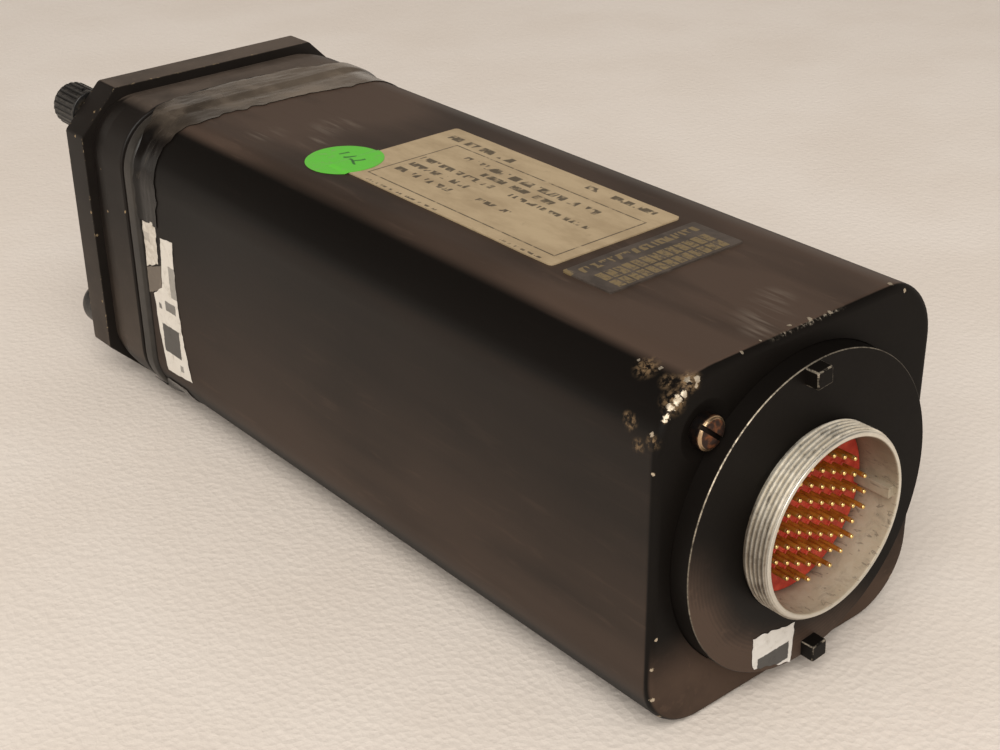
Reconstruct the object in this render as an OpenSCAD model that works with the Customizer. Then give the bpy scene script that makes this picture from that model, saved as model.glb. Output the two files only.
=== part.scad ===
// Panel compass indicator in a square drawn case, lying on its side.
// The dial faces -Y and the connector +Y. The origin is the middle of the face
// behind the bezel flange, which seats on the instrument panel.

/* [Case] */
// Width and height of the square case
case_w = 80.65; // [78:0.05:84]
// Length of the case and bezel behind the panel face
case_len = 212.75; // [205:0.25:220]
// Radius of the long corners of the case
case_r = 15.5; // [13:0.1:17]
// Thickness of the drawn side walls
case_wall = 1.2; // [1:0.1:1.4]
// Thickness of the rear wall
rear_wall = 2; // [1.5:0.1:2.5]
// Radius of the rounded rear edge
rear_edge_r = 1.9; // [1:0.1:2.5]

/* [Bezel] */
// Width and height of the bezel flange
flange_w = 84.6; // [83:0.1:86]
// Thickness of the flange in front of the panel
flange_t = 9.65; // [8:0.05:11]
// Length cut off each side of a flange corner
flange_cut = 11.3; // [10:0.1:13]
// Radius of the opening over the dial
window_r = 33; // [32:0.1:34]

/* [Knobs] */
// Distance of the ribbed knob from the middle, sideways and up
ribbed_at = 33.3; // [33:0.1:33.5]
// Radius of the ribbed knob
ribbed_r = 6; // [5.5:0.1:6.2]
// How far the ribbed knob stands in front of the flange
ribbed_h = 12; // [10:0.5:13]
// Ribs around the ribbed knob
rib_count = 20; // [16:1:24]
// Radius of the smooth knob
smooth_r = 6.2; // [5.5:0.1:6.5]
// How far the smooth knob stands in front of the flange
smooth_h = 13.5; // [11:0.5:14]

/* [Rear end] */
// Radius of the round rear boss
boss_r = 35.3; // [34:0.1:35.5]
// How far the boss stands behind the case
boss_h = 4.6; // [4:0.1:5.5]
// Radius over the threads of the connector
conn_r = 20.65; // [20:0.05:21]
// How far the connector stands behind the boss
conn_h = 6.4; // [6:0.1:8]
// Spacing of the contacts
pin_pitch = 3.81; // [3.7:0.01:3.85]
// Turn of the contact rows from the dial's vertical
pin_turn = 26; // [0:1:30]

/* [Dial and gears] */
// Radius of the compass card
card_r = 28; // [27:0.1:28.2]
// Teeth on the card gear and on the index gear
card_teeth = 60; // [60:1:60]
// Module of the card gears
card_m = 0.8; // [0.8:0.1:0.8]
// Module of the knob and motor gears
fine_m = 0.5; // [0.5:0.1:0.5]

/* [Hidden] */
$fn = 48;

case_half = case_w / 2;
inner_half = case_half - case_wall;
inner_r = case_r - case_wall;
flange_half = flange_w / 2;
flange_diagonal = (flange_w - flange_cut) / sqrt(2);
edge_bevel = 0.8;

// Body of the bezel behind the flange, and the skirt that the case slides over
ring_half = 40.7;
ring_r = 15.2;
ring_len = 17;
skirt_half = inner_half - 0.2;
skirt_r = inner_r - 0.2;
skirt_wall = 1.5;
skirt_len = 32;
cavity_half = 39;
cavity_r = 13.5;
seal_groove_half = 39.9;
groove_r = 14.4;
bead_half = 41;
bead_y = [18.3, 23.4];
bead_edge_r = 1.2;
case_y = 24.2;

// Window pieces, from the front lip backwards
lip_y = -6.65;
seat_r = 35.5;
gasket_t = 0.6;
glass_t = 2.2;
mask_t = 0.8;
mask_r = 28.6;

// Stack of the dial, all behind the mask
flag_y = [1.2, 1.7];
pivot_end_y = 5;
pivot_r = 0.4;
tab_y = [1.9, 2.5];
card_y = [3, 4.1];
index_y = [4.9, 5.6];
index_gear_y = [6, 7.5];
drum_y = [8.1, 12.9];
card_gear_y = [13.5, 15];
fine_y = [15.3, 16.6];
plate_y = [18, 20.5];
middle_y = [68, 70.5];
bulkhead_y = [118, 120.5];
coupling_y = 75;
motor_end_y = 64;
rotor_y = 29;
synchro_y = [80, bulkhead_y[0]];
synchro_r = 13.3;
rotor_end_y = 89;

// Centres in the plane of the dial, as [x, z]
knob_c = [ribbed_at, ribbed_at];
sync_c = [33.3, -26.6];
sum_teeth = 20;
knob_teeth = 10;
drum_teeth = 52;
reduction_teeth = 12;
large_teeth = 48;
motor_teeth = 12;
sum_d = (card_teeth + sum_teeth) * card_m / 2;
knob_d = (knob_teeth + drum_teeth) * fine_m / 2;
sum_angle = 45 - acos((sum_d * sum_d + knob_c * knob_c - knob_d * knob_d) / (2 * sum_d * norm(knob_c)));
sum_c = sum_d * [cos(sum_angle), sin(sum_angle)];
reduction_angle = 225;
reduction_d = (card_teeth + reduction_teeth) * card_m / 2;
reduction_c = reduction_d * [cos(reduction_angle), sin(reduction_angle)];
motor_d = (large_teeth + motor_teeth) * fine_m / 2;
motor_c = reduction_c + [motor_d, 0];
flag_angle = -65;
flag_d = 38.5;
flag_c = flag_d * [cos(flag_angle), sin(flag_angle)];

// Shafts and their running fits
shaft_r = 1.5;
arbor_r = 1;
sleeve_r = 2;
run_fit = 0.04;
bearing_r = 4;
bushing_r = 3;
bushing_y = 3.2;
collar_y = [3.3, 4.1];

// Gear tooth proportions: pressure angle, and parts of a module
pressure = 25;
addendum = 0.8;
dedendum = 1.1;
thinning = 0.06;

// Plates and posts of the frame
plate_half = 37.2;
plate_r = 12.4;
front_post_at = [[-30.5, 30.5], [-32, -31], [34.5, 4], [24, -33]];
tie_at = 29.3;
post_r = 2.5;

// Rear end
boss_y = case_len + boss_h;
rim_y = boss_y + conn_h;
boss_plate_y = 204;
boss_plate_half = 37.5;
hole_r = boss_r + 0.2;
lug_w = 4.4;
lug_depth = 4;
lug_h = 3.3;
lug_angles = [84, 266];
shell_wall = 1.6;
neck_r = conn_r - 0.6;
neck_h = 0.4;
insert_r = 17.8;
insert_y = [203, case_len + 0.8];
pin_r = 0.51;
pin_y = [208, case_len + 7.3];
key_w = 2.6;
key_h = 1.3;
screw_at = 27.7;
screw_head_r = 3.6;
screw_recess = 0.7;

// Plates on the top face
plate_t = 0.4;
name_x = [-19.3, 18.7];
name_y = [82, 160];
record_x = [-19.6, 18.9];
record_y = [163.5, 178];

// Shapes shared by the pieces

// Extrudes a shape drawn in x and z from y0 to y1
module slab(y0, y1) {
    translate([0, y1, 0]) rotate([90, 0, 0]) linear_extrude(y1 - y0) children();
}

// Turns a shape drawn in radius and y around the line at c
module turned(c = [0, 0]) {
    translate([c.x, 0, c.y]) rotate([-90, 0, 0]) rotate_extrude() children();
}

module rod(c, y0, y1, r) {
    translate([c.x, y0, c.y]) rotate([-90, 0, 0]) cylinder(h = y1 - y0, r = r);
}

module rounded_square(half, r) {
    square(2 * [half, half - r], center = true);
    square(2 * [half - r, half], center = true);
    for (sx = [-1, 1], sz = [-1, 1])
        translate([sx, sz] * (half - r)) circle(r);
}

module tile(half, r, y0, y1) {
    slab(y0, y1) rounded_square(half, r);
}

// Half section of a bar whose rear edge is rounded by e
module edge_section(half, e, y0, y1) {
    translate([0, y0]) square([half, y1 - e - y0]);
    translate([0, y0]) square([half - e, y1 - y0]);
    translate([half - e, y1 - e]) circle(e);
}

// Square bar with rounded long corners and a rounded rear edge
module rounded_bar(half, r, e, y0, y1) {
    for (sx = [-1, 1], sz = [-1, 1])
        turned([sx, sz] * (half - r)) edge_section(r, e, y0, y1);
    for (turn = [0, 90, 180, 270])
        rotate([0, turn, 0]) translate([0, 0, r - half])
            linear_extrude(2 * (half - r)) edge_section(half, e, y0, y1);
}

function polar(r, a) = r * [cos(a), sin(a)];
function involute(rb, r) = r <= rb ? 0 : tan(acos(rb / r)) * 180 / PI - acos(rb / r);

// Outline of an involute gear, with its first tooth at angle 0
function gear_outline(n, m) =
    let (rp = n * m / 2,
         rb = rp * cos(pressure),
         root = rp - dedendum * m,
         tip = rp + addendum * m,
         at_pitch = 90 / n - thinning * m / rp * 180 / PI + involute(rb, rp),
         radii = root < rb ? [root, rb, (rb + tip) / 2, tip] : [root, (root + tip) / 2, tip])
    [for (i = [0:n - 1], side = [-1, 1], k = [0:len(radii) - 1])
        let (r = side < 0 ? radii[k] : radii[len(radii) - 1 - k])
        polar(r, 360 * i / n + side * (at_pitch - involute(rb, r)))];

// Angle of the first tooth that puts a gear of n2 teeth in mesh with one of n1
// teeth whose first tooth is at p1, where the line of centres is at angle a
function mesh_angle(a, p1, n1, n2) = a + 180 + (a - p1) * n1 / n2 + 180 / n2;

module gear(c, n, m, first, y0, y1) {
    translate([c.x, 0, c.y]) slab(y0, y1) rotate(first) polygon(gear_outline(n, m));
}

// Outside pieces

module case_shell() {
    color("#2b2521") difference() {
        rounded_bar(case_half, case_r, rear_edge_r, case_y, case_len);
        rounded_bar(inner_half, inner_r, 0.8, case_y - 1, case_len - rear_wall);
        rod([0, 0], case_len - rear_wall - 1, case_len + 1, hole_r);
        rod([screw_at, screw_at], case_len - screw_recess, case_len + 1, 5);
        rod([screw_at, screw_at], case_len - rear_wall - 1, case_len, 2.1);
    }
}

// Flange outline in one direction across, with bevelled front edges
module flange_section(half) {
    polygon([[-half, 0], [half, 0], [half, edge_bevel - flange_t], [half - edge_bevel, -flange_t],
             [edge_bevel - half, -flange_t], [-half, edge_bevel - flange_t]]);
}

module bezel() {
    color("#26231f") difference() {
        union() {
            intersection_for (turn = [0:3])
                rotate([0, 45 * turn, 0]) translate([0, 0, -60]) linear_extrude(120)
                    flange_section(turn % 2 == 0 ? flange_half : flange_diagonal);
            tile(ring_half, ring_r, 0, ring_len);
            tile(seal_groove_half, groove_r, ring_len, bead_y[0]);
            tile(skirt_half, skirt_r, bead_y[0], skirt_len);
        }
        tile(cavity_half, cavity_r, 0, ring_len);
        tile(skirt_half - skirt_wall, skirt_r - skirt_wall, ring_len - 1, skirt_len + 1);
        rod([0, 0], lip_y, 1, seat_r);
        turned() polygon([[0, -flange_t - 1], [window_r + 3, -flange_t - 1], [window_r, lip_y - 0.8],
                          [window_r, lip_y + 1], [0, lip_y + 1]]);
        for (c = [knob_c, sync_c]) rod(c, -flange_t - 1, 1, bushing_r);
        rod(knob_c, 0, ring_len, bushing_r + 0.2);
    }
}

// Rubber bead that fills the joint between the bezel and the case
module case_seal() {
    color("#1c1a18") difference() {
        union() {
            tile(seal_groove_half, groove_r, bead_y[0], case_y);
            for (back = [0, 1]) mirror([0, back, 0]) translate([0, -back * (bead_y[0] + bead_y[1]), 0])
                rounded_bar(bead_half, case_r, bead_edge_r, (bead_y[0] + bead_y[1]) / 2, bead_y[1]);
        }
        tile(skirt_half, skirt_r, bead_y[0] - 1, case_y + 1);
    }
}

module window_gasket() {
    color("#141414") difference() {
        rod([0, 0], lip_y, lip_y + gasket_t, seat_r);
        rod([0, 0], lip_y - 1, lip_y + gasket_t + 1, window_r);
    }
}

module window_glass() {
    color("#c8d8dc", 0.4) rod([0, 0], lip_y + gasket_t, lip_y + gasket_t + glass_t, seat_r);
}

module window_ring() {
    color("#1b1b1b") difference() {
        rod([0, 0], lip_y + gasket_t + glass_t, 0, seat_r);
        turned() polygon([[0, lip_y], [window_r + 0.6, lip_y], [window_r - 0.3, 1], [0, 1]]);
    }
}

// Fixed ring round the card, with the lubber line at twelve o'clock and the flag's window
module dial_mask() {
    flag_slot = [2.6, 5];
    color("#161616") {
        difference() {
            tile(cavity_half - 0.3, cavity_r - 0.3, 0, mask_t);
            rod([0, 0], -1, mask_t + 1, mask_r);
            for (c = [knob_c, sync_c]) rod(c, -1, mask_t + 1, bushing_r + 0.3);
            rotate([0, -flag_angle, 0]) translate([mask_r + 2.6, 0, 0])
                cube([flag_slot.x, 4, flag_slot.y], center = true);
        }
        slab(0, mask_t) polygon([[-mask_r - 0.5, -1.3], [-mask_r + 3.4, -0.25],
                                 [-mask_r + 3.4, 0.25], [-mask_r - 0.5, 1.3]]);
    }
}

module heading_knob() {
    front = -flange_t - ribbed_h;
    back = -flange_t - 0.5;
    color("#1a1918") translate([knob_c.x, 0, knob_c.y]) difference() {
        turned() polygon([[0, front], [ribbed_r - 0.7, front], [ribbed_r, front + 0.7],
                          [ribbed_r, back], [0, back]]);
        for (i = [0:rib_count - 1]) rotate([0, i * 360 / rib_count, 0])
            rod([ribbed_r + 0.35, 0], front - 1, back - 0.6, 0.75);
        rod([0, 0], front + 2.5, back + 1, shaft_r);
        translate([0, back - 3, 0]) cylinder(h = ribbed_r + 1, r = 0.9);
    }
}

module sync_knob() {
    front = -flange_t - smooth_h;
    back = -flange_t - 0.5;
    dome_r = 3.8;
    color("#1a1918") translate([sync_c.x, 0, sync_c.y]) difference() {
        turned() {
            translate([0, front + dome_r]) square([smooth_r, back - front - dome_r]);
            translate([0, front]) square([smooth_r - dome_r, back - front]);
            intersection() {
                translate([smooth_r - dome_r, front + dome_r]) circle(dome_r);
                translate([0, front]) square([smooth_r, dome_r + 1]);
            }
        }
        rod([0, 0], front + 3.5, back + 1, shaft_r);
        translate([0, back - 3, 0]) rotate([180, 0, 0]) cylinder(h = smooth_r + 1, r = 0.9);
    }
}

// Headless screw in the side of a knob, with a slot across its end
module set_screw(c, up) {
    y = -flange_t - 3.5;
    tip = shaft_r;
    end = 5.2;
    color("#8a8782") translate([c.x, y, c.y]) rotate([up ? 0 : 180, 0, 0]) difference() {
        translate([0, 0, tip]) cylinder(h = end - tip, r = 0.9);
        translate([0, 0, end]) cube([3, 0.35, 1.2], center = true);
    }
}

module knob_shaft(c, y1) {
    rod(c, -flange_t - 9, y1, shaft_r);
    rod(c, collar_y[0], collar_y[1], 2.4);
}

module heading_shaft() {
    color("#b9b6ae") {
        knob_shaft(knob_c, fine_y[1]);
        gear(knob_c, knob_teeth, fine_m, knob_first, fine_y[0], fine_y[1]);
    }
}

module sync_shaft() {
    color("#b9b6ae") knob_shaft(sync_c, 12);
}

module knob_bushing(c) {
    color("#b08d4a") difference() {
        union() {
            rod(c, -flange_t, bushing_y, bushing_r);
            rod(c, -flange_t - 0.3, -flange_t, 4.2);
        }
        rod(c, -flange_t - 1, bushing_y + 1, shaft_r + run_fit);
    }
}

module sync_switch() {
    color("#5a4630") difference() {
        union() {
            rod(sync_c, mask_t, 12.5, 5.2);
            for (i = [0:2]) translate([sync_c.x, 12.5, sync_c.y]) rotate([0, 40 + 120 * i, 0])
                translate([3.6, 0, 0]) cube([1, 4, 2.6], center = true);
        }
        rod(sync_c, mask_t - 1, collar_y[1] + 0.4, bushing_r + 0.2);
        rod(sync_c, 4, 13, shaft_r + run_fit);
    }
}

// Rear end

module rear_boss() {
    outer = boss_r - lug_depth;
    color("#26211e") difference() {
        union() {
            tile(boss_plate_half, 12.5, boss_plate_y, case_len - rear_wall);
            rod([0, 0], boss_plate_y, boss_y, boss_r);
            for (a = lug_angles) intersection() {
                rod([0, 0], boss_y - 1, boss_y + lug_h, boss_r);
                rotate([0, -a, 0]) translate([outer, boss_y - 1, -lug_w / 2])
                    cube([lug_depth + 2, lug_h + 2, lug_w]);
            }
        }
        rod([0, 0], boss_plate_y - 1, boss_y + 1, neck_r + 0.1);
        rod([screw_at, screw_at], boss_plate_y - 1, case_len, 2);
    }
}

module connector_shell() {
    bore = conn_r - shell_wall;
    color("#b3aea4") {
        difference() {
            union() {
                rod([0, 0], boss_plate_y - 3, rim_y - 0.5, neck_r);
                rod([0, 0], boss_y + neck_h, rim_y - 0.5, conn_r);
                turned() polygon([[0, rim_y - 0.5], [conn_r, rim_y - 0.5], [conn_r - 0.5, rim_y], [0, rim_y]]);
                rod([0, 0], boss_plate_y - 3, boss_plate_y, 24.5);
            }
            rod([0, 0], insert_y[1], rim_y + 1, bore);
            rod([0, 0], boss_plate_y - 4, insert_y[1] + 1, insert_r);
        }
        intersection() {
            difference() {
                rod([0, 0], insert_y[1], rim_y - 1, bore + 0.3);
                rod([0, 0], insert_y[1] - 1, rim_y, bore - key_h);
            }
            translate([-bore - 1, insert_y[1], -key_w / 2]) cube([4, 20, key_w]);
        }
    }
}

// Centres of the contacts: nine rows of a hexagon that lacks its six corners
row_lengths = [3, 6, 7, 8, 7, 8, 7, 6, 3];
contact_at = [for (row = [0:8], i = [0:row_lengths[row] - 1])
    let (u = (i - (row_lengths[row] - 1) / 2) * pin_pitch, v = (row - 4) * pin_pitch * sqrt(3) / 2)
    [u * cos(pin_turn) - v * sin(pin_turn), u * sin(pin_turn) + v * cos(pin_turn)]];

module connector_insert() {
    color("#b4321e") difference() {
        rod([0, 0], insert_y[0], insert_y[1], insert_r);
        for (c = contact_at) rod(c, pin_y[0], insert_y[1] + 1, pin_r);
    }
}

module connector_contacts() {
    point = 0.3;
    color("#c8962e") for (c = contact_at) translate([c.x, 0, c.y]) turned()
        polygon([[0, pin_y[0]], [pin_r, pin_y[0]], [pin_r, pin_y[1] - point],
                 [pin_r - point, pin_y[1]], [0, pin_y[1]]]);
}

module case_screw() {
    seat = case_len - screw_recess;
    color("#7d6a58") translate([screw_at, 0, screw_at]) difference() {
        union() {
            turned() {
                translate([0, seat]) square([screw_head_r, 2.1]);
                intersection() {
                    translate([0, seat + 3.3 - 6.5]) circle(6.5);
                    translate([0, seat + 2]) square([screw_head_r, 3]);
                }
            }
            rod([0, 0], boss_plate_y + 2, seat, 1.9);
        }
        rotate([0, -40, 0]) translate([0, seat + 3, 0]) cube([10, 2.8, 0.9], center = true);
    }
}

// Plates on the top face

module top_plate(x, y, r) {
    translate([0, 0, case_half]) linear_extrude(plate_t) {
        translate([x[0], y[0] + r]) square([x[1] - x[0], y[1] - y[0] - 2 * r]);
        translate([x[0] + r, y[0]]) square([x[1] - x[0] - 2 * r, y[1] - y[0]]);
        for (px = [x[0] + r, x[1] - r], py = [y[0] + r, y[1] - r]) translate([px, py]) circle(r);
    }
}

module nameplate() {
    color("#ad987d") top_plate(name_x, name_y, 1.2);
}

module record_plate() {
    color("#3a3531") top_plate(record_x, record_y, 1.2);
}

// Frame of the mechanism

// Plate across the case with round holes, each given as [x, z, radius]
module plate(y, holes) {
    color("#a9a69d") difference() {
        tile(plate_half, plate_r, y[0], y[1]);
        for (h = holes) rod([h[0], h[1]], y[0] - 1, y[1] + 1, h[2]);
    }
}

module front_plate() {
    plate(plate_y, [[0, 0, bearing_r], [reduction_c.x, reduction_c.y, bearing_r / 2],
                    [sum_c.x, sum_c.y, arbor_r], [motor_c.x, motor_c.y, 5], [20, -12, 7], [-14, 22, 8]]);
}

module middle_plate() {
    plate(middle_y, [[0, 0, bearing_r], [24, 0, 5], [-24, 0, 5], [0, 24, 8]]);
}

module rear_bulkhead() {
    plate(bulkhead_y, [[0, 0, 9], [24, 20, 4], [-24, 20, 4]]);
}

module posts(places, y0, y1) {
    color("#b8b5ac") for (c = places) rod(c, y0, y1, post_r);
}

corner_ties = [for (sx = [-1, 1], sz = [-1, 1]) [sx, sz] * tie_at];

module middle_posts() {
    posts(corner_ties, plate_y[1], middle_y[0]);
    posts(corner_ties, middle_y[1], bulkhead_y[0]);
}

module bearing(c, bore_r, outer_r, y) {
    difference() {
        rod(c, y[0], y[1], outer_r);
        rod(c, y[0] - 1, y[1] + 1, bore_r);
    }
}

module card_bearings() {
    color("#c9c6bd") for (y = [plate_y, middle_y]) bearing([0, 0], shaft_r + run_fit, bearing_r, y);
}

module reduction_bushing() {
    color("#b08d4a") bearing(reduction_c, arbor_r + run_fit, bearing_r / 2, plate_y);
}

// Fixed arbor of the summing gears, carried by the front plate
module sum_arbor() {
    color("#b9b6ae") rod(sum_c, index_gear_y[0] - 0.1, plate_y[1], arbor_r);
}

// Servo and synchro

module motor_can(c, y0, y1, r) {
    turned(c) polygon([[0, y0], [r - 1, y0], [r, y0 + 1], [r, y0 + 4], [r - 0.7, y0 + 4.6], [r - 0.7, y1 - 2],
                       [r - 2, y1], [0, y1]]);
}

module servo_motor() {
    color("#8f8c85") difference() {
        motor_can(motor_c, plate_y[1], motor_end_y, synchro_r);
        rod(motor_c, plate_y[1] - 1, rotor_y + 0.5, arbor_r + run_fit);
    }
}

module follow_up_synchro() {
    color("#8f8c85") difference() {
        motor_can([0, 0], synchro_y[0], synchro_y[1], synchro_r);
        rod([0, 0], synchro_y[0] - 1, rotor_end_y + 0.5, shaft_r + run_fit);
    }
}

// Three strap clamps between the middle plate and the synchro's front groove
module synchro_clamps() {
    strap_y = synchro_y[0] + 4.7;
    strap_x = [synchro_r - 0.65, 21.5];
    color("#b8b5ac") for (i = [0:2]) rotate([0, 30 + 120 * i, 0]) {
        rod([19, 0], middle_y[1], strap_y, post_r);
        translate([strap_x[0], strap_y, -post_r]) cube([strap_x[1] - strap_x[0], 1.4, 2 * post_r]);
    }
}

// Sleeve that joins the card shaft to the synchro's rotor, necked in its middle
module shaft_coupling() {
    color("#b9b6ae") difference() {
        translate([0, coupling_y, 0]) turned()
            polygon([[shaft_r, -3.5], [4.6, -3.5], [4.6, -0.6], [3.2, -0.6], [3.2, 0.6],
                     [4.6, 0.6], [4.6, 3.5], [shaft_r, 3.5]]);
        for (dy = [-2, 2]) translate([0, coupling_y + dy, 0]) cylinder(h = 6, r = 0.8);
    }
}

module synchro_rotor() {
    color("#b9b6ae") rod([0, 0], coupling_y, rotor_end_y, shaft_r);
}

module annunciator_coil() {
    color("#7a4a2a") difference() {
        union() {
            rod(flag_c, 2.6, 12, 3.2);
            rod(flag_c, 12, plate_y[0], 1.5);
        }
        rod(flag_c, 2, pivot_end_y + 0.1, pivot_r + run_fit);
    }
}

module dial_lamps() {
    color("#e8e2cf") for (a = [100, 170, 250])
        rod(polar(33.4, a), mask_t, 11, 1.6);
}

// Electronics behind the bulkhead

board_y = [bulkhead_y[1], 198];
board_x = 24;
coil_end_y = 154.5;

module amplifier_board() {
    parts_at = [[130, -14], [130, 2], [146, 12], [150, -8], [165, -16], [168, 4], [184, 10], [186, -12]];
    color("#4a5a34") translate([board_x, board_y[0], -23]) cube([1.6, board_y[1] - board_y[0], 46]);
    color("#8c7a55") for (p = parts_at) translate([board_x - 4, p[0] - 3, p[1] - 2.5]) cube([4, 7, 5]);
    color("#c9c6bd") for (y = [138, 158, 176]) translate([board_x, y, -18]) rotate([0, -90, 0])
        cylinder(h = 5, r = 4);
}

module power_board() {
    color("#4a5a34") translate([-board_x - 1.6, board_y[0], -23]) cube([1.6, board_y[1] - board_y[0], 46]);
    color("#c9c6bd") for (z = [-12, 0, 12]) translate([-board_x, 176, z]) rotate([0, 90, 0])
        cylinder(h = 6, r = 4.2);
}

module power_transformer() {
    color("#3c3a38") translate([-13, bulkhead_y[1] + 1.5, -15]) cube([26, 31, 30]);
    color("#b08d4a") translate([-9, bulkhead_y[1], -11]) cube([18, coil_end_y - bulkhead_y[1], 22]);
}

module board_capacitors() {
    color("#9a9890") for (i = [0:3]) translate([-board_x, 132 + 11 * i, -16]) {
        rotate([0, 90, 0]) cylinder(h = 8, r = 4);
        translate([0, 0, 14]) rotate([0, 90, 0]) cylinder(h = 5, r = 3);
    }
}

// Laced bundles from the transformer to the back of the connector insert
module rear_wiring() {
    color("#8a8378") {
        for (x = [-6.5, 0, 6.5], z = [-8, 8]) rod([x, z], coil_end_y, insert_y[0], 2.2);
        translate([-9, coil_end_y + 4, -11]) cube([18, 3, 22]);
    }
}

// Moving pieces of the dial

card_first = 0;
sum_first = mesh_angle(sum_angle, card_first, card_teeth, sum_teeth);
reduction_first = mesh_angle(reduction_angle, card_first, card_teeth, reduction_teeth);
motor_first = mesh_angle(0, 0, large_teeth, motor_teeth);
knob_angle = atan2(knob_c.y - sum_c.y, knob_c.x - sum_c.x);
knob_first = mesh_angle(knob_angle, 0, drum_teeth, knob_teeth);

module compass_card() {
    color("#1d1d1d") difference() {
        rod([0, 0], card_y[0], card_y[1], card_r);
        rod([0, 0], card_y[0] - 1, card_y[1] + 1, 2.5);
    }
}

module card_shaft() {
    color("#b9b6ae") {
        rod([0, 0], card_y[0] - 0.6, card_y[0], 5);
        rod([0, 0], card_y[0], card_gear_y[0], 2.5);
        rod([0, 0], card_y[1], index_y[0] - 0.1, 4);
        rod([0, 0], index_gear_y[1] + 3.1, card_gear_y[0], 4);
        rod([0, 0], card_gear_y[0], coupling_y, shaft_r);
    }
}

module card_gear() {
    color("#c2a35a") difference() {
        union() {
            gear([0, 0], card_teeth, card_m, card_first, card_gear_y[0], card_gear_y[1]);
            rod([0, 0], card_gear_y[1], card_gear_y[1] + 2.6, 4);
        }
        rod([0, 0], card_gear_y[0] - 1, card_gear_y[1] + 3, shaft_r);
        for (i = [0:4]) rotate([0, 72 * i, 0]) rod([13.5, 0], card_gear_y[0] - 1, card_gear_y[1] + 1, 5);
    }
}

// Spoked carrier behind the card, with the index that shows in front of its rim
module heading_index() {
    rim_r = 29.3;
    color("#d8742a") {
        difference() {
            rod([0, 0], index_y[0], index_y[1], rim_r);
            rod([0, 0], index_y[0] - 1, index_y[1] + 1, 2.5 + run_fit);
            for (i = [0:4]) rotate([0, 36 + 72 * i, 0]) rod([16, 0], index_y[0] - 1, index_y[1] + 1, 7.5);
        }
        intersection() {
            difference() {
                rod([0, 0], tab_y[0], index_y[0], rim_r);
                rod([0, 0], tab_y[1], index_y[0] + 1, card_r + 0.4);
                rod([0, 0], tab_y[0] - 1, tab_y[1] + 0.1, card_r - 2.8);
            }
            union() {
                translate([-rim_r - 1, 0, 0.8]) cube([6, 8, 2.2]);
                translate([-rim_r - 1, 0, -3]) cube([6, 8, 2.2]);
            }
        }
    }
}

module index_gear() {
    color("#c2a35a") difference() {
        union() {
            gear([0, 0], card_teeth, card_m, card_first, index_gear_y[0], index_gear_y[1]);
            rod([0, 0], index_y[1], index_gear_y[1] + 3, 4.5);
        }
        rod([0, 0], index_y[1] - 1, index_gear_y[1] + 4, 2.5 + run_fit);
        for (i = [0:4]) rotate([0, 72 * i, 0]) rod([13.5, 0], index_gear_y[0] - 1, index_gear_y[1] + 1, 5);
    }
}

// Summing gears: the output turns with the card and is led ahead of it by the knob

module sum_input_gear() {
    color("#c2a35a") difference() {
        gear(sum_c, sum_teeth, card_m, sum_first, card_gear_y[0], card_gear_y[1]);
        rod(sum_c, card_gear_y[0] - 1, card_gear_y[1] + 1, sleeve_r + run_fit);
    }
}

module sum_output_pinion() {
    color("#c2a35a") difference() {
        gear(sum_c, sum_teeth, card_m, sum_first, index_gear_y[0], index_gear_y[1]);
        rod(sum_c, index_gear_y[0] - 1, index_gear_y[1] + 1, arbor_r + run_fit);
    }
}

// Closed drum that the knob turns, with its sleeve through the input gear
module sum_drum() {
    color("#c2a35a") difference() {
        union() {
            turned(sum_c) polygon([[0, drum_y[0]], [5.9, drum_y[0]], [6.5, drum_y[0] + 0.6],
                                   [6.5, drum_y[1] - 0.6], [5.9, drum_y[1]], [0, drum_y[1]]]);
            rod(sum_c, drum_y[1], fine_y[1], sleeve_r);
            gear(sum_c, drum_teeth, fine_m, 0, fine_y[0], fine_y[1]);
        }
        rod(sum_c, drum_y[0] - 1, fine_y[1] + 1, arbor_r + run_fit);
    }
}

// Servo gears

module reduction_gear() {
    color("#c2a35a") {
        gear(reduction_c, reduction_teeth, card_m, reduction_first, card_gear_y[0] - 0.2, card_gear_y[1] + 0.2);
        rod(reduction_c, card_gear_y[1], fine_y[0], 3.2);
        gear(reduction_c, large_teeth, fine_m, 0, fine_y[0], fine_y[1]);
        rod(reduction_c, 12, plate_y[1] - 0.2, arbor_r);
    }
}

module motor_pinion() {
    color("#b9b6ae") {
        gear(motor_c, motor_teeth, fine_m, motor_first, fine_y[0], fine_y[1]);
        rod(motor_c, fine_y[0], rotor_y, arbor_r);
    }
}

// Flag on the end of the coil's pivot, reaching inwards to its window in the mask
module annunciator_flag() {
    flag_r = 9;
    half_angle = 35;
    inward = flag_angle + 180;
    color("#e5e2d8") {
        rod(flag_c, flag_y[0], pivot_end_y, pivot_r);
        translate([flag_c.x, 0, flag_c.y]) slab(flag_y[0], flag_y[1]) intersection() {
            circle(flag_r);
            polygon([[0, 0], polar(2 * flag_r, inward - half_angle), polar(2 * flag_r, inward),
                     polar(2 * flag_r, inward + half_angle)]);
        }
    }
}

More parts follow.
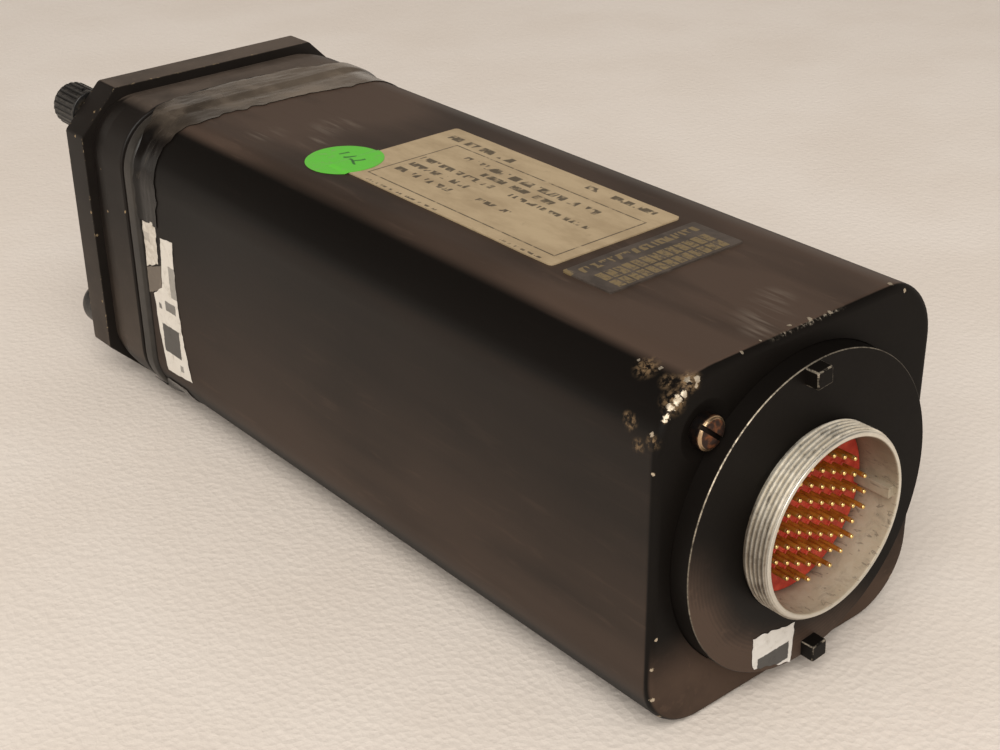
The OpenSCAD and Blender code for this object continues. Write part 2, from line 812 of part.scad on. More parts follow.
case_shell();  // case
bezel();
case_seal();
window_gasket();
window_glass();
window_ring();
dial_mask();
front_plate();
middle_plate();
rear_bulkhead();
posts(front_post_at, mask_t, plate_y[0]);  // front_posts
middle_posts();
posts(corner_ties, bulkhead_y[1], boss_plate_y);  // rear_posts
rear_boss();
connector_shell();
connector_insert();
connector_contacts();
case_screw();
nameplate();
record_plate();
knob_bushing(knob_c);  // heading_bushing
knob_bushing(sync_c);  // sync_bushing
sync_switch();
card_bearings();
reduction_bushing();
sum_arbor();
servo_motor();
follow_up_synchro();
synchro_clamps();
annunciator_coil();
dial_lamps();
amplifier_board();
power_board();
power_transformer();
board_capacitors();
rear_wiring();
compass_card();
card_shaft();
card_gear();
shaft_coupling();
synchro_rotor();
heading_index();
index_gear();
sum_input_gear();
sum_output_pinion();
sum_drum();
heading_knob();
heading_shaft();
set_screw(knob_c, true);  // heading_set_screw
sync_knob();
sync_shaft();
set_screw(sync_c, false);  // sync_set_screw
reduction_gear();
motor_pinion();
annunciator_flag();
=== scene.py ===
"""Compass indicator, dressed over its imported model.

Lengths are written in millimetres and kept in metres, in the model's own frame:
the dial faces -Y, the connector +Y, and +Z is up as the unit lies on its side.
"""

import logging
import math
from collections.abc import Callable, Sequence
from dataclasses import dataclass
from enum import Enum

import bpy
from mathutils import Matrix, Vector, noise


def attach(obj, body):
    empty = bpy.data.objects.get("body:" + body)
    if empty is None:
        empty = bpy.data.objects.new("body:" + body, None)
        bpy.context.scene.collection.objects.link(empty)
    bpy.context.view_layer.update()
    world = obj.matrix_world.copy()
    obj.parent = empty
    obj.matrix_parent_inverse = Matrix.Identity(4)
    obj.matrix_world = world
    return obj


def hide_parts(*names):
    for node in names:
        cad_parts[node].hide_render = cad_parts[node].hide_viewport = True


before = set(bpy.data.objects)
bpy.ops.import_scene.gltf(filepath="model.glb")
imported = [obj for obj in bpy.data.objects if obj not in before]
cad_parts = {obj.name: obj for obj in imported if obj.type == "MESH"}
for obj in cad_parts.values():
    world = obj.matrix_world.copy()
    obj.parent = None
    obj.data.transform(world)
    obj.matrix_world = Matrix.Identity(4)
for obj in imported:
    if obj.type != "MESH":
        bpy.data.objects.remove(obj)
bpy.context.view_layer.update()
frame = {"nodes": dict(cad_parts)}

LOG = logging.getLogger("indicator")
MM = 0.001
QUARTER = math.pi / 2
SEED = 7
UP = Vector((0, 0, 1))
Point = Sequence[float]
Profile = Sequence[Sequence[float]]
Colour = tuple[float, float, float, float]
Move = Callable[[Vector], Point]


class Element(Enum):
    """What a selection picks, as the edit mode's three switches."""

    POINT = (True, False, False)
    EDGE = (False, True, False)


class Joining(Enum):
    """How one solid is joined with another."""

    TAKE_AWAY = "DIFFERENCE"
    ADD = "UNION"
    KEEP_COMMON = "INTERSECT"


# Small sums


def metres(point: Point) -> Vector:
    """Turns a point or step in millimetres into metres."""
    return Vector(point) * MM


def spread(low: float, high: float, share: float) -> float:
    """Gives the place at a share of the way between two numbers."""
    return low + (high - low) * share


def eased_share(share: float) -> float:
    """Smooths a share of 0 to 1 at both ends, and keeps it in that range."""
    share = min(max(share, 0), 1)
    return share * share * (3 - 2 * share)


def turn_y(degrees: float) -> Matrix:
    """Gives a turn about the long axis, clockwise for one who reads the dial."""
    return Matrix.Rotation(math.radians(degrees), 3, "Y")


def shade(code: str) -> Colour:
    """Turns a colour as it looks on a screen, such as "c8962e", into linear light."""
    parts = [int(code[i:i + 2], 16) / 255 for i in (0, 2, 4)]
    linear = [p / 12.92 if p <= 0.04045 else ((p + 0.055) / 1.055) ** 2.4 for p in parts]
    return (*linear, 1.0)


def eased(corners: Profile, steps: int = 4) -> list[tuple[float, float]]:
    """Rounds the corners of a profile.

    Args:
        corners: points (across, along) or, where one is rounded, (across, along, radius).
        steps: edges in each rounding.

    Returns:
        The points of the eased profile.
    """
    out: list[tuple[float, float]] = []
    for i, corner in enumerate(corners):
        here = Vector(corner[:2])
        if len(corner) < 3 or i in (0, len(corners) - 1):
            out.append(tuple(here))
            continue
        before = (Vector(corners[i - 1][:2]) - here).normalized()
        after = (Vector(corners[i + 1][:2]) - here).normalized()
        half = before.angle(after) / 2
        middle = here + (before + after).normalized() * corner[2] / math.sin(half)
        start = here + before * corner[2] / math.tan(half) - middle
        end = here + after * corner[2] / math.tan(half) - middle
        sweep = start.angle_signed(end)
        for k in range(steps + 1):
            out.append(tuple(middle + Matrix.Rotation(-sweep * k / steps, 2) @ start))
    return out


def deselect() -> None:
    """Leaves nothing selected, in object mode."""
    if bpy.context.mode != "OBJECT":
        bpy.ops.object.mode_set(mode="OBJECT")
    bpy.ops.object.select_all(action="DESELECT")


class Piece:
    """One new mesh, shaped with operators. Its sizes are given in millimetres."""

    def __init__(self, name: str, obj: bpy.types.Object) -> None:
        """Takes over a mesh object and names it."""
        obj.name = obj.data.name = name
        self.name = name
        self.obj = obj

    # Starts

    @classmethod
    def begin(cls, name: str, add: Callable[..., object], at: Point = (0, 0, 0),
              turn: Point = (0, 0, 0), **sizes: object) -> "Piece":
        """Adds a primitive at its place and fixes the place in its mesh.

        Args:
            name: name of the piece.
            add: operator that adds the primitive.
            at: its centre.
            turn: its turn about x, y and z.
            sizes: what else the operator takes, lengths in metres.

        Returns:
            The new piece.
        """
        deselect()
        add(location=metres(at), rotation=turn, **sizes)
        bpy.ops.object.transform_apply(location=True, rotation=True, scale=True)
        return cls(name, bpy.context.active_object)

    @classmethod
    def line(cls, name: str, points: Sequence[Point]) -> "Piece":
        """Draws a line of edges, by extruding one point from place to place."""
        piece = cls.begin(name, bpy.ops.mesh.primitive_plane_add, points[0], size=MM)
        bpy.context.tool_settings.mesh_select_mode = Element.POINT.value
        bpy.ops.object.mode_set(mode="EDIT")
        bpy.ops.mesh.select_all(action="SELECT")
        bpy.ops.mesh.merge(type="CENTER")
        for here, there in zip(points, points[1:]):
            piece.push(Vector(there) - Vector(here))
        bpy.ops.mesh.select_all(action="SELECT")
        return piece

    @classmethod
    def turned(cls, name: str, profile: Profile, centre: Point = (0, 0),
               steps: int = 96) -> "Piece":
        """Spins a profile about a line along Y, as on a lathe.

        Args:
            name: name of the piece.
            profile: points (radius, y).
            centre: x and z of the line.
            steps: steps round the turn.

        Returns:
            The new piece.
        """
        x, z = centre
        piece = cls.line(name, [(x + r, y, z) for r, y in profile])
        bpy.ops.mesh.spin(steps=steps, angle=math.tau, center=metres((x, 0, z)), axis=(0, 1, 0))
        return piece.cleaned()

    @classmethod
    def rod(cls, name: str, radius: float, ends: Point, centre: Point = (0, 0),
            steps: int = 96) -> "Piece":
        """Turns a plain rod between two places on y, to cut another piece with."""
        profile = [(0, ends[0]), (radius, ends[0]), (radius, ends[1]), (0, ends[1])]
        return cls.turned(name, profile, centre, steps)

    @classmethod
    def squared(cls, name: str, profile: Profile, corner: float, steps: int = 12,
                along: int = 6) -> "Piece":
        """Carries a profile round a square with round corners.

        Args:
            name: name of the piece.
            profile: points (half the width, y).
            corner: distance of the corners' centres from the middle.
            steps: steps in each corner.
            along: steps on each side.

        Returns:
            The new piece.
        """
        piece = cls.line(name, [(half, y, corner) for half, y in profile])
        corners = [(1, 1), (-1, 1), (-1, -1), (1, -1)]
        for (x, z), (next_x, next_z) in zip(corners, corners[1:] + corners[:1]):
            bpy.ops.mesh.spin(steps=steps, angle=QUARTER, axis=(0, 1, 0),
                              center=metres((x * corner, 0, z * corner)))
            for _ in range(along):
                piece.push(((next_x - x) * corner / along, 0, (next_z - z) * corner / along))
        return piece.cleaned()

    @classmethod
    def slab(cls, name: str, low: Point, high: Point) -> "Piece":
        """Cuts a block between two corners, as the start of another shape."""
        a, b = Vector(low), Vector(high)
        return cls.begin(name, bpy.ops.mesh.primitive_cube_add, (a + b) / 2, size=MM, scale=b - a)

    @classmethod
    def sheet(cls, name: str, across: int, along: int,
              lay: Callable[[float, float], Point]) -> "Piece":
        """Lays a grid over something.

        Args:
            name: name of the piece.
            across: steps in the first direction.
            along: steps in the second direction.
            lay: gives the place of a point from two numbers of 0 to 1.

        Returns:
            The new piece.
        """
        piece = cls.begin(name, bpy.ops.mesh.primitive_grid_add, x_subdivisions=across,
                          y_subdivisions=along, size=1)
        return piece.reshaped(lambda at: lay(at.x * MM + 0.5, at.y * MM + 0.5))

    # Work in edit mode

    def alone(self) -> "Piece":
        """Selects this piece and no other, in object mode."""
        deselect()
        self.obj.select_set(True)
        bpy.context.view_layer.objects.active = self.obj
        return self

    def edit(self, everything: bool = True) -> "Piece":
        """Goes to edit mode on this piece, with all or what was chosen selected."""
        self.alone()
        bpy.ops.object.mode_set(mode="EDIT")
        if everything:
            bpy.ops.mesh.select_all(action="SELECT")
        return self

    def choose(self, element: Element, test: Callable[[Vector, Vector], bool]) -> "Piece":
        """Selects what passes a test, and goes to edit mode.

        Args:
            element: points or edges.
            test: takes the middle of one in millimetres, and a point's normal or an edge's
                direction.

        Returns:
            This piece.
        """
        deselect()
        mesh = self.obj.data
        for group in (mesh.vertices, mesh.edges, mesh.polygons):
            group.foreach_set("select", [False] * len(group))
        if element is Element.EDGE:
            for edge in mesh.edges:
                a, b = (mesh.vertices[i].co for i in edge.vertices)
                edge.select = test((a + b) / 2 / MM, (b - a).normalized())
        else:
            for point in mesh.vertices:
                point.select = test(point.co / MM, point.normal)
        bpy.context.tool_settings.mesh_select_mode = element.value
        return self.edit(everything=False)

    def push(self, step: Point) -> "Piece":
        """Extrudes the selection by a step."""
        bpy.ops.mesh.extrude_region_move(TRANSFORM_OT_translate={"value": metres(step)})
        return self

    def rounded(self, width: float, steps: int = 3, points: bool = False) -> "Piece":
        """Rounds the selected edges or, in a flat face, the selected corner points."""
        bpy.ops.mesh.bevel(offset=width * MM, segments=steps, clamp_overlap=True,
                           affect="VERTICES" if points else "EDGES")
        return self

    def capped(self) -> "Piece":
        """Closes every open loop with a face."""
        self.edit()
        bpy.ops.mesh.fill_holes(sides=0)
        return self.cleaned()

    def cleaned(self) -> "Piece":
        """Merges doubled points and points all faces outwards."""
        self.edit()
        bpy.ops.mesh.remove_doubles(threshold=0.002 * MM)
        bpy.ops.mesh.normals_make_consistent(inside=False)
        deselect()
        return self

    def facing(self, way: Callable[[Vector], Vector]) -> "Piece":
        """Turns a sheet's faces over unless most look the way that a rule gives for a place."""
        total = sum(f.normal.dot(way(f.center)) * f.area for f in self.obj.data.polygons)
        if total < 0:
            self.edit()
            bpy.ops.mesh.flip_normals()
            deselect()
        return self

    # Work on whole pieces

    def reshaped(self, move: Move) -> "Piece":
        """Moves every point by a rule in millimetres."""
        deselect()
        for point in self.obj.data.vertices:
            point.co = metres(move(point.co / MM))
        return self

    def modified(self, kind: str, **settings: object) -> "Piece":
        """Adds one modifier with its settings, and applies it."""
        self.alone()
        modifier = self.obj.modifiers.new(kind.lower(), kind)
        for setting, value in settings.items():
            setattr(modifier, setting, value)
        bpy.ops.object.modifier_apply(modifier=modifier.name)
        return self

    def joined(self, other: "Piece", way: Joining) -> "Piece":
        """Joins this solid with another one, which is used up."""
        self.modified("BOOLEAN", object=other.obj, operation=way.value, solver="EXACT")
        bpy.data.objects.remove(other.obj)
        return self

    def thickened(self, thickness: float) -> "Piece":
        """Gives a sheet its thickness, outwards along its normals."""
        return self.modified("SOLIDIFY", thickness=thickness * MM, offset=1)

    def eased_edges(self, width: float, steps: int) -> "Piece":
        """Rounds every edge sharper than 40 degrees."""
        return self.modified("BEVEL", width=width * MM, segments=steps, limit_method="ANGLE",
                             angle_limit=math.radians(40))

    def gathered(self, others: Sequence["Piece"]) -> "Piece":
        """Makes other pieces part of this one, without cutting them."""
        self.alone()
        for other in others:
            other.obj.select_set(True)
        bpy.ops.object.join()
        return self

    def repeated(self, moves: Sequence[Move]) -> "Piece":
        """Copies this piece once for each move of its points, and gathers all."""
        copies = []
        for move in moves:
            self.alone()
            bpy.ops.object.duplicate(linked=False)
            copies.append(Piece(self.name + "_copy", bpy.context.active_object).reshaped(move))
        return self.gathered(copies)

    def smooth(self, degrees: float = 35, weighted: bool = True) -> "Piece":
        """Shades the piece smooth.

        Args:
            degrees: edges sharper than this stay sharp.
            weighted: whether large faces keep their own direction.

        Returns:
            This piece.
        """
        self.alone()
        bpy.ops.object.shade_smooth_by_angle(angle=math.radians(degrees))
        return self.modified("WEIGHTED_NORMAL", keep_sharp=True) if weighted else self

    def dress(self, finish: "Finish", body: str, slot: str, *nodes: str) -> "Piece":
        """Gives the piece its finish, its body and the nodes that it stands for.

        Args:
            finish: the finish.
            body: name of the body that carries it.
            slot: name of the record's material slot; not used.
            nodes: names of the nodes that it replaces.

        Returns:
            This piece.
        """
        deselect()
        self.obj.data.materials.clear()
        self.obj.data.materials.append(finish.material())
        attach(self.obj, body)
        if nodes:
            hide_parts(*nodes)
        LOG.info("%s on %s, %d faces", self.name, body, len(self.obj.data.polygons))
        return self


class Value:
    """A number that varies over a surface. Arithmetic on it adds Math nodes."""

    def __init__(self, nodes: "Nodes", socket: bpy.types.NodeSocket) -> None:
        """Wraps a socket of a tree's nodes."""
        self.nodes = nodes
        self.socket = socket

    def __add__(self, other: "Value | float") -> "Value":
        """Adds."""
        return self.nodes.maths("ADD", self, other)

    def __sub__(self, other: "Value | float") -> "Value":
        """Subtracts."""
        return self.nodes.maths("SUBTRACT", self, other)

    def __rsub__(self, other: float) -> "Value":
        """Subtracts from a number."""
        return self.nodes.maths("SUBTRACT", other, self)

    def __mul__(self, other: "Value | float") -> "Value":
        """Multiplies."""
        return self.nodes.maths("MULTIPLY", self, other)

    __radd__ = __add__
    __rmul__ = __mul__

    def __abs__(self) -> "Value":
        """Takes off the sign."""
        return self.nodes.maths("ABSOLUTE", self)

    def low(self, other: "Value | float") -> "Value":
        """Gives the lower of two."""
        return self.nodes.maths("MINIMUM", self, other)

    def high(self, other: "Value | float") -> "Value":
        """Gives the higher of two."""
        return self.nodes.maths("MAXIMUM", self, other)

    def step(self, start: float, end: float) -> "Value":
        """Rises smoothly from 0 at start to 1 at end; falls where end is the lower one."""
        lowest, highest, off, on = (start, end, 0, 1) if start < end else (end, start, 1, 0)
        node = self.nodes.node("ShaderNodeMapRange", {"interpolation_type": "SMOOTHSTEP"},
                               {0: self, 1: lowest, 2: highest, 3: off, 4: on})
        return Value(self.nodes, node.outputs[0])

    def band(self, low: float, high: float, soft: float = 0.15) -> "Value":
        """Gives one between two values, and nought outside them."""
        return self.step(low - soft, low + soft) * self.step(high + soft, high - soft)


Input = Value | float


class Nodes:
    """Adds nodes to one tree."""

    def __init__(self, tree: bpy.types.NodeTree) -> None:
        """Takes the tree."""
        self.tree = tree

    def node(self, kind: str, settings: dict[str, object],
             inputs: dict[int | str, object]) -> bpy.types.Node:
        """Adds one node.

        Args:
            kind: its type.
            settings: its own settings, made first; "stops" are a ramp's (place, colour code).
            inputs: values or links of its sockets, by number or name.

        Returns:
            The node.
        """
        node = self.tree.nodes.new(kind)
        for setting, value in settings.items():
            if setting != "stops":
                setattr(node, setting, value)
                continue
            while len(node.color_ramp.elements) < len(value):
                node.color_ramp.elements.new(0.5)
            for element, (position, code) in zip(node.color_ramp.elements, value):
                element.position, element.color = position, shade(code)
        for key, value in inputs.items():
            self.plug(node.inputs[key], value)
        return node

    def plug(self, socket: bpy.types.NodeSocket, value: object) -> None:
        """Links or sets one socket."""
        if isinstance(value, Value):
            value = value.socket
        if isinstance(value, bpy.types.NodeSocket):
            self.tree.links.new(value, socket)
        else:
            socket.default_value = value

    def maths(self, operation: str, first: Input, second: Input = 0) -> Value:
        """Adds a Math node."""
        node = self.node("ShaderNodeMath", {"operation": operation}, {0: first, 1: second})
        return Value(self, node.outputs[0])

    def vector(self, operation: str, first: bpy.types.NodeSocket, output: str = "Vector",
               **inputs: object) -> bpy.types.NodeSocket:
        """Adds a Vector Math node, whose other inputs go by name."""
        sockets = {1 if name == "second" else name: value for name, value in inputs.items()}
        node = self.node("ShaderNodeVectorMath", {"operation": operation}, {0: first, **sockets})
        return node.outputs[output]

    def parts(self, vector: bpy.types.NodeSocket) -> tuple[Value, ...]:
        """Splits a vector into its three numbers."""
        split = self.node("ShaderNodeSeparateXYZ", {}, {0: vector})
        return tuple(Value(self, socket) for socket in split.outputs)

    def mix(self, share: Input, first: object, second: object) -> bpy.types.NodeSocket:
        """Mixes two colours, each a code or a socket."""
        colours = [shade(c) if isinstance(c, str) else c for c in (first, second)]
        node = self.node("ShaderNodeMix", {"data_type": "RGBA"},
                         {0: share, 6: colours[0], 7: colours[1]})
        return node.outputs[2]


class Recipe(Nodes):
    """The nodes of one material, with lengths in millimetres of the object's own frame."""

    def __init__(self, name: str) -> None:
        """Starts an empty material."""
        self.made = bpy.data.materials.new(name)
        self.made.use_nodes = True
        super().__init__(self.made.node_tree)
        self.shader = self.tree.nodes["Principled BSDF"]
        place = self.node("ShaderNodeTexCoord", {}, {}).outputs["Object"]
        self.place = self.vector("SCALE", place, Scale=1000)
        self.x, self.y, self.z = self.parts(self.place)
        facing = self.node("ShaderNodeNewGeometry", {}, {}).outputs["Normal"]
        self.facing_x, self.facing_y, self.facing_z = self.parts(facing)

    def radius(self, centre: Point = (0, 0)) -> Value:
        """Distance from a line along Y through x and z."""
        x, z = self.x - centre[0], self.z - centre[1]
        return self.maths("SQRT", x * x + z * z)

    def away(self, at: Point) -> Value:
        """Distance from a place."""
        moved = self.vector("SUBTRACT", self.place, second=at)
        return Value(self, self.vector("LENGTH", moved, "Value"))

    def spots(self, places: Sequence[Point]) -> Value:
        """One in the middle of each place (x, y, z, reach), falling to nought at its reach."""
        total: Input = 0
        for *middle, reach in places:
            total = self.away(middle).step(reach, 0).high(total)
        return total

    def grain(self, size: float, detail: float = 2, stretch: Point = (1, 1, 1),
              shift: float = 0, roughness: float = 0.5, warp: float = 0) -> Value:
        """Noise from 0 to 1.

        Args:
            size: size of its lumps.
            detail: octaves.
            stretch: how much shorter the lumps are along each axis.
            shift: moves the pattern, so that two of one size differ.
            roughness: strength of the finer octaves.
            warp: distortion.

        Returns:
            The noise.
        """
        placed = self.node("ShaderNodeMapping", {}, {
            "Vector": self.place, "Location": (shift, 1.7 * shift, 0.6 * shift),
            "Scale": [s / size for s in stretch]})
        noise_node = self.node("ShaderNodeTexNoise", {}, {
            "Vector": placed.outputs[0], "Scale": 1, "Detail": detail, "Roughness": roughness,
            "Distortion": warp})
        return Value(self, noise_node.outputs[0])

    def cells(self, size: float, stretch: Point = (1, 1, 1), edges: bool = False) -> Value:
        """Distance to the nearest of scattered points, or to the edge between two."""
        placed = self.node("ShaderNodeMapping", {}, {
            "Vector": self.place, "Scale": [s / size for s in stretch]})
        cells = self.node("ShaderNodeTexVoronoi",
                          {"feature": "DISTANCE_TO_EDGE" if edges else "F1"},
                          {"Vector": placed.outputs[0], "Scale": 1})
        return Value(self, cells.outputs["Distance"])

    def relief(self, height: Value, depth: float,
               under: bpy.types.NodeSocket | None = None) -> bpy.types.NodeSocket:
        """Raises the surface by a height of 0 to 1 times a depth."""
        inputs: dict[int | str, object] = {"Strength": 1, "Distance": depth * MM, "Height": height}
        if under is not None:
            inputs["Normal"] = under
        return self.node("ShaderNodeBump", {}, inputs).outputs[0]

    def surface(self, **inputs: object) -> None:
        """Sets the shader's sockets, named with underscores for spaces."""
        for name, value in inputs.items():
            value = shade(value) if isinstance(value, str) else value
            self.plug(self.shader.inputs[name.replace("_", " ")], value)


MADE: dict[str, bpy.types.Material] = {}


@dataclass(frozen=True)
class Finish:
    """What a surface is made of. Each kind adds its nodes in mix_in."""

    name: str

    def mix_in(self, r: Recipe) -> None:
        """Adds the finish's own nodes to a material's."""
        raise NotImplementedError

    def material(self) -> bpy.types.Material:
        """Gives the material, which is made once."""
        if self.name not in MADE:
            recipe = Recipe(self.name)
            self.mix_in(recipe)
            MADE[self.name] = recipe.made
        return MADE[self.name]


@dataclass(frozen=True)
class Paint(Finish):
    """Satin paint with a brown film, part dust and part painted light, wipe marks, and chips down
    to the metal.

    Chips, scuffs and smears are places (x, y, z, reach).
    """

    colour: str = "0c0a08"
    dust_and_light_film: str = "4b3c32"
    gloss: float = 0.3
    coat: float = 0.3
    peel: float = 0.012
    run: Point = (1, 0.12, 1)
    chips: tuple[Point, ...] = ()
    scuffs: tuple[Point, ...] = ()
    smears: tuple[Point, ...] = ()
    worn_edges: float = 0
    metal: str = "e6d9c4"
    dull_metal: str = "94846c"
    primer: str = "6b5638"
    rub: str = "8b7152"
    smear: str = "9c8f80"

    def mix_in(self, r: Recipe) -> None:
        """Adds the paint's nodes."""
        dust_and_light_film = r.grain(14, 3, self.run, roughness=0.6) * 0.7 + r.grain(55, 2, shift=9) * 0.5
        marks = r.grain(2.2, 3, self.run, shift=21, warp=0.4)
        dust = (dust_and_light_film - 0.35).step(0, 0.4) * 0.6 + 0.42 + marks.step(0.58, 0.75) * 0.35
        dust = dust * self.dust_and_painted_light(r)
        # The film colour goes where this mask says: dust, and in places painted reflection,
        # highlight and shade.
        colour = r.mix(dust, self.colour, self.dust_and_light_film)
        rough = 0.5 + dust * 0.16 + r.grain(0.8, 2) * 0.08
        speck = r.grain(1.1, 4, shift=3, roughness=0.7)
        flake = r.grain(1.3, 4, shift=31, roughness=0.7, warp=1)
        bare = self.edge_mask(r) * flake.step(0.62 - self.worn_edges * 0.4, 0.72)
        if self.chips:
            near = r.spots(self.chips)
            chip = (near + (flake - 0.5) * 3.4 - 0.5).step(0, 0.1) * near.step(0.04, 0.2)
            halo = (near + (flake - 0.5) * 1.6 - 0.3).step(0, 0.3) * near.step(0, 0.2)
            bare = bare.high(chip)
            colour = r.mix(halo * 0.5, colour, self.primer)
        if self.scuffs:
            rubbed = r.spots(self.scuffs) * speck.step(0.42, 0.62)
            colour = r.mix(rubbed * 0.75, colour, self.rub)
            rough = rough + rubbed * 0.15
        if self.smears:
            streaks = r.grain(1.3, 5, (1, 0.08, 1), shift=44).step(0.44, 0.64)
            colour = r.mix(r.spots(self.smears) * streaks * 0.22, colour, self.smear)
        colour = r.mix(bare, colour, r.mix(speck, self.metal, self.dull_metal))
        height = r.grain(1.6, 2, shift=5) * 0.6 + r.grain(0.5, 2, shift=8) * 0.25
        normal = r.relief(height, self.peel)
        normal = r.relief(r.grain(26, 2, (1, 0.35, 1), shift=2), 0.22, normal)
        normal = r.relief((1 - bare) * 0.8 + bare * speck * 0.35, 0.07, normal)
        r.surface(Base_Color=colour, Roughness=rough + bare * (speck * 0.3 - 0.2),
                  Metallic=bare * 0.8, Normal=normal, Specular_IOR_Level=0.08,
                  Coat_Roughness=self.gloss, Coat_Weight=self.shiny(r) * self.coat * (1 - bare))

    def dust_and_painted_light(self, r: Recipe) -> Value:
        """How thick the film lies: dust, and in places painted light."""
        raise NotImplementedError

    def shiny(self, r: Recipe) -> Value:
        """How much sheen there is."""
        return r.grain(20, 2, shift=60).step(-0.6, 0.9)

    def edge_mask(self, r: Recipe) -> Value:
        """Where edges are rubbed bare."""
        raise NotImplementedError


@dataclass(frozen=True)
class CasePaint(Paint):
    """The case's paint: a pale film of dust and painted reflection on the sides, clean corners and
    rear, a chipped rear edge.
    """

    def dust_and_painted_light(self, r: Recipe) -> Value:
        """Film of dust and painted reflection of the pale floor and room: thick at both ends of
        the top and low on the sides and the rear.
        """
        ends = r.y.step(140, 195) * 0.5 + r.y.step(80, 45) * (r.x.step(5, -25) * 0.5 + 0.5)
        top = r.facing_z.step(0.87, 0.975) * (ends + 0.72)
        lower = r.z.step(26, -32) * 0.55 + r.y.step(30, 110) * 0.15
        sides = abs(r.facing_x).step(0.9, 0.99) * lower
        rear = r.facing_y.step(0.6, 0.9) * r.z.step(-13, -32) * 1.1
        return top.high(sides).high(rear).high(0.03)

    def shiny(self, r: Recipe) -> Value:
        """Sheen on the flat sides, less on the corners, least on the rear."""
        flat = abs(r.facing_x).high(abs(r.facing_z)).step(0.85, 0.98)
        return flat * (r.y.step(15, 70) * 0.35 + 0.45) + 0.08 - r.facing_y.step(0.75, 0.95) * 0.06

    def edge_mask(self, r: Recipe) -> Value:
        """Broken line on the rounded rear edge, on the top side's middle."""
        line = r.y.band(211.5, 212.2, 0.25) * r.x.band(-10, 8, 3)
        return line * r.z.step(39.3, 39.8) * r.grain(0.7, 3, shift=70).step(0.42, 0.56)


@dataclass(frozen=True)
class BezelPaint(Paint):
    """The bezel's paint, rubbed on the edges of its flange."""

    def dust_and_painted_light(self, r: Recipe) -> Value:
        """Film thick on top up to a painted shadow band before the tape's edge, thin on the sides,
        least on the corners.
        """
        sides = abs(r.facing_x).step(0.9, 0.99) * (r.z.step(20, -32) * 0.5 + 0.06)
        before_tape = r.y - (r.x - 3) * (r.x - 3) * 0.0056
        # A band just in front of the tape's edge gets no film and stays dark: painted shadow.
        painted_tape_shadow = before_tape.band(12.2, 14.4, 0.2)
        return (r.facing_z.step(0.9, 0.99) * 0.9 * (1 - painted_tape_shadow)).high(sides).high(0.06)

    def edge_mask(self, r: Recipe) -> Value:
        """The flange's rear and front corners."""
        out = abs(r.x).high(abs(r.z)).high((abs(r.x) + abs(r.z)) * 0.7071 - 9.53)
        edges = r.y.band(-0.45, 0.3, 0.2).high(r.y.band(-9.2, -8.5, 0.2))
        return out.step(42.05, 42.25) * edges


@dataclass(frozen=True)
class BossPaint(Paint):
    """The boss's paint: a painted highlight in streaks low on its left, a worn rim and worn lugs.
    """

    def dust_and_painted_light(self, r: Recipe) -> Value:
        """Painted highlight: pale streaks that follow the rim low on the left, as a turned face
        would catch the light.
        """
        radius = r.radius()
        wave = r.maths("SINE", radius * 7 + r.grain(9, 2, shift=12) * 5)
        side = (r.x * 0.6 - r.z).step(10, 34) * radius.step(23, 33.5)
        face = r.facing_y.step(0.7, 0.95) * r.y.step(217.9, 217.4)
        return side * (wave * 0.15 + 1.25) * face + 0.03

    def shiny(self, r: Recipe) -> Value:
        """A little sheen low on the left."""
        return (r.x * 0.6 - r.z).step(6, 34) * 0.5 + 0.04

    def edge_mask(self, r: Recipe) -> Value:
        """The rim from its upper left round to the right, and the lugs' edges."""
        rim = r.radius().step(35.1, 35.2) * r.y.band(217.1, 217.5, 0.06)
        upper = r.away((25, 217, 25)).step(26, 6) * 0.8 + (r.z + r.x * 0.4).step(-20, 10) * 0.45
        squarely = abs(r.facing_y).high(abs(r.facing_x)).high(abs(r.facing_z))
        lugs = r.y.band(217.5, 221, 0.1) * squarely.step(0.985, 0.9)
        return rim * upper + lugs * r.grain(1, 2, shift=3).step(0.35, 0.6) * 0.8


@dataclass(frozen=True)
class Metal(Finish):
    """Bare metal with machining lines, dull patches and dark stains."""

    colour: str = "a9a69d"
    dull: str = "8a867c"
    stain: str = "3a332a"
    stained: float = 0.3
    rough: float = 0.3
    lines: Point = (1, 1, 1)
    line_size: float = 0.6
    patch: float = 6

    def mix_in(self, r: Recipe) -> None:
        """Adds the metal's nodes."""
        lines = r.grain(self.line_size, 2, self.lines)
        patches = r.grain(self.patch, 4, shift=7, roughness=0.6)
        stains = r.grain(self.patch * 0.4, 5, shift=17, roughness=0.65, warp=0.3)
        dirty = stains.step(0.72 - self.stained * 0.3, 0.82 - self.stained * 0.2)
        colour = r.mix(patches.step(0.35, 0.7), self.colour, self.dull)
        colour = r.mix(dirty * (0.35 + self.stained), colour, self.stain)
        r.surface(Base_Color=colour, Metallic=1 - dirty * 0.55,
                  Roughness=self.rough + lines * 0.18 + patches * 0.14 + dirty * 0.2,
                  Normal=r.relief(lines, 0.012))


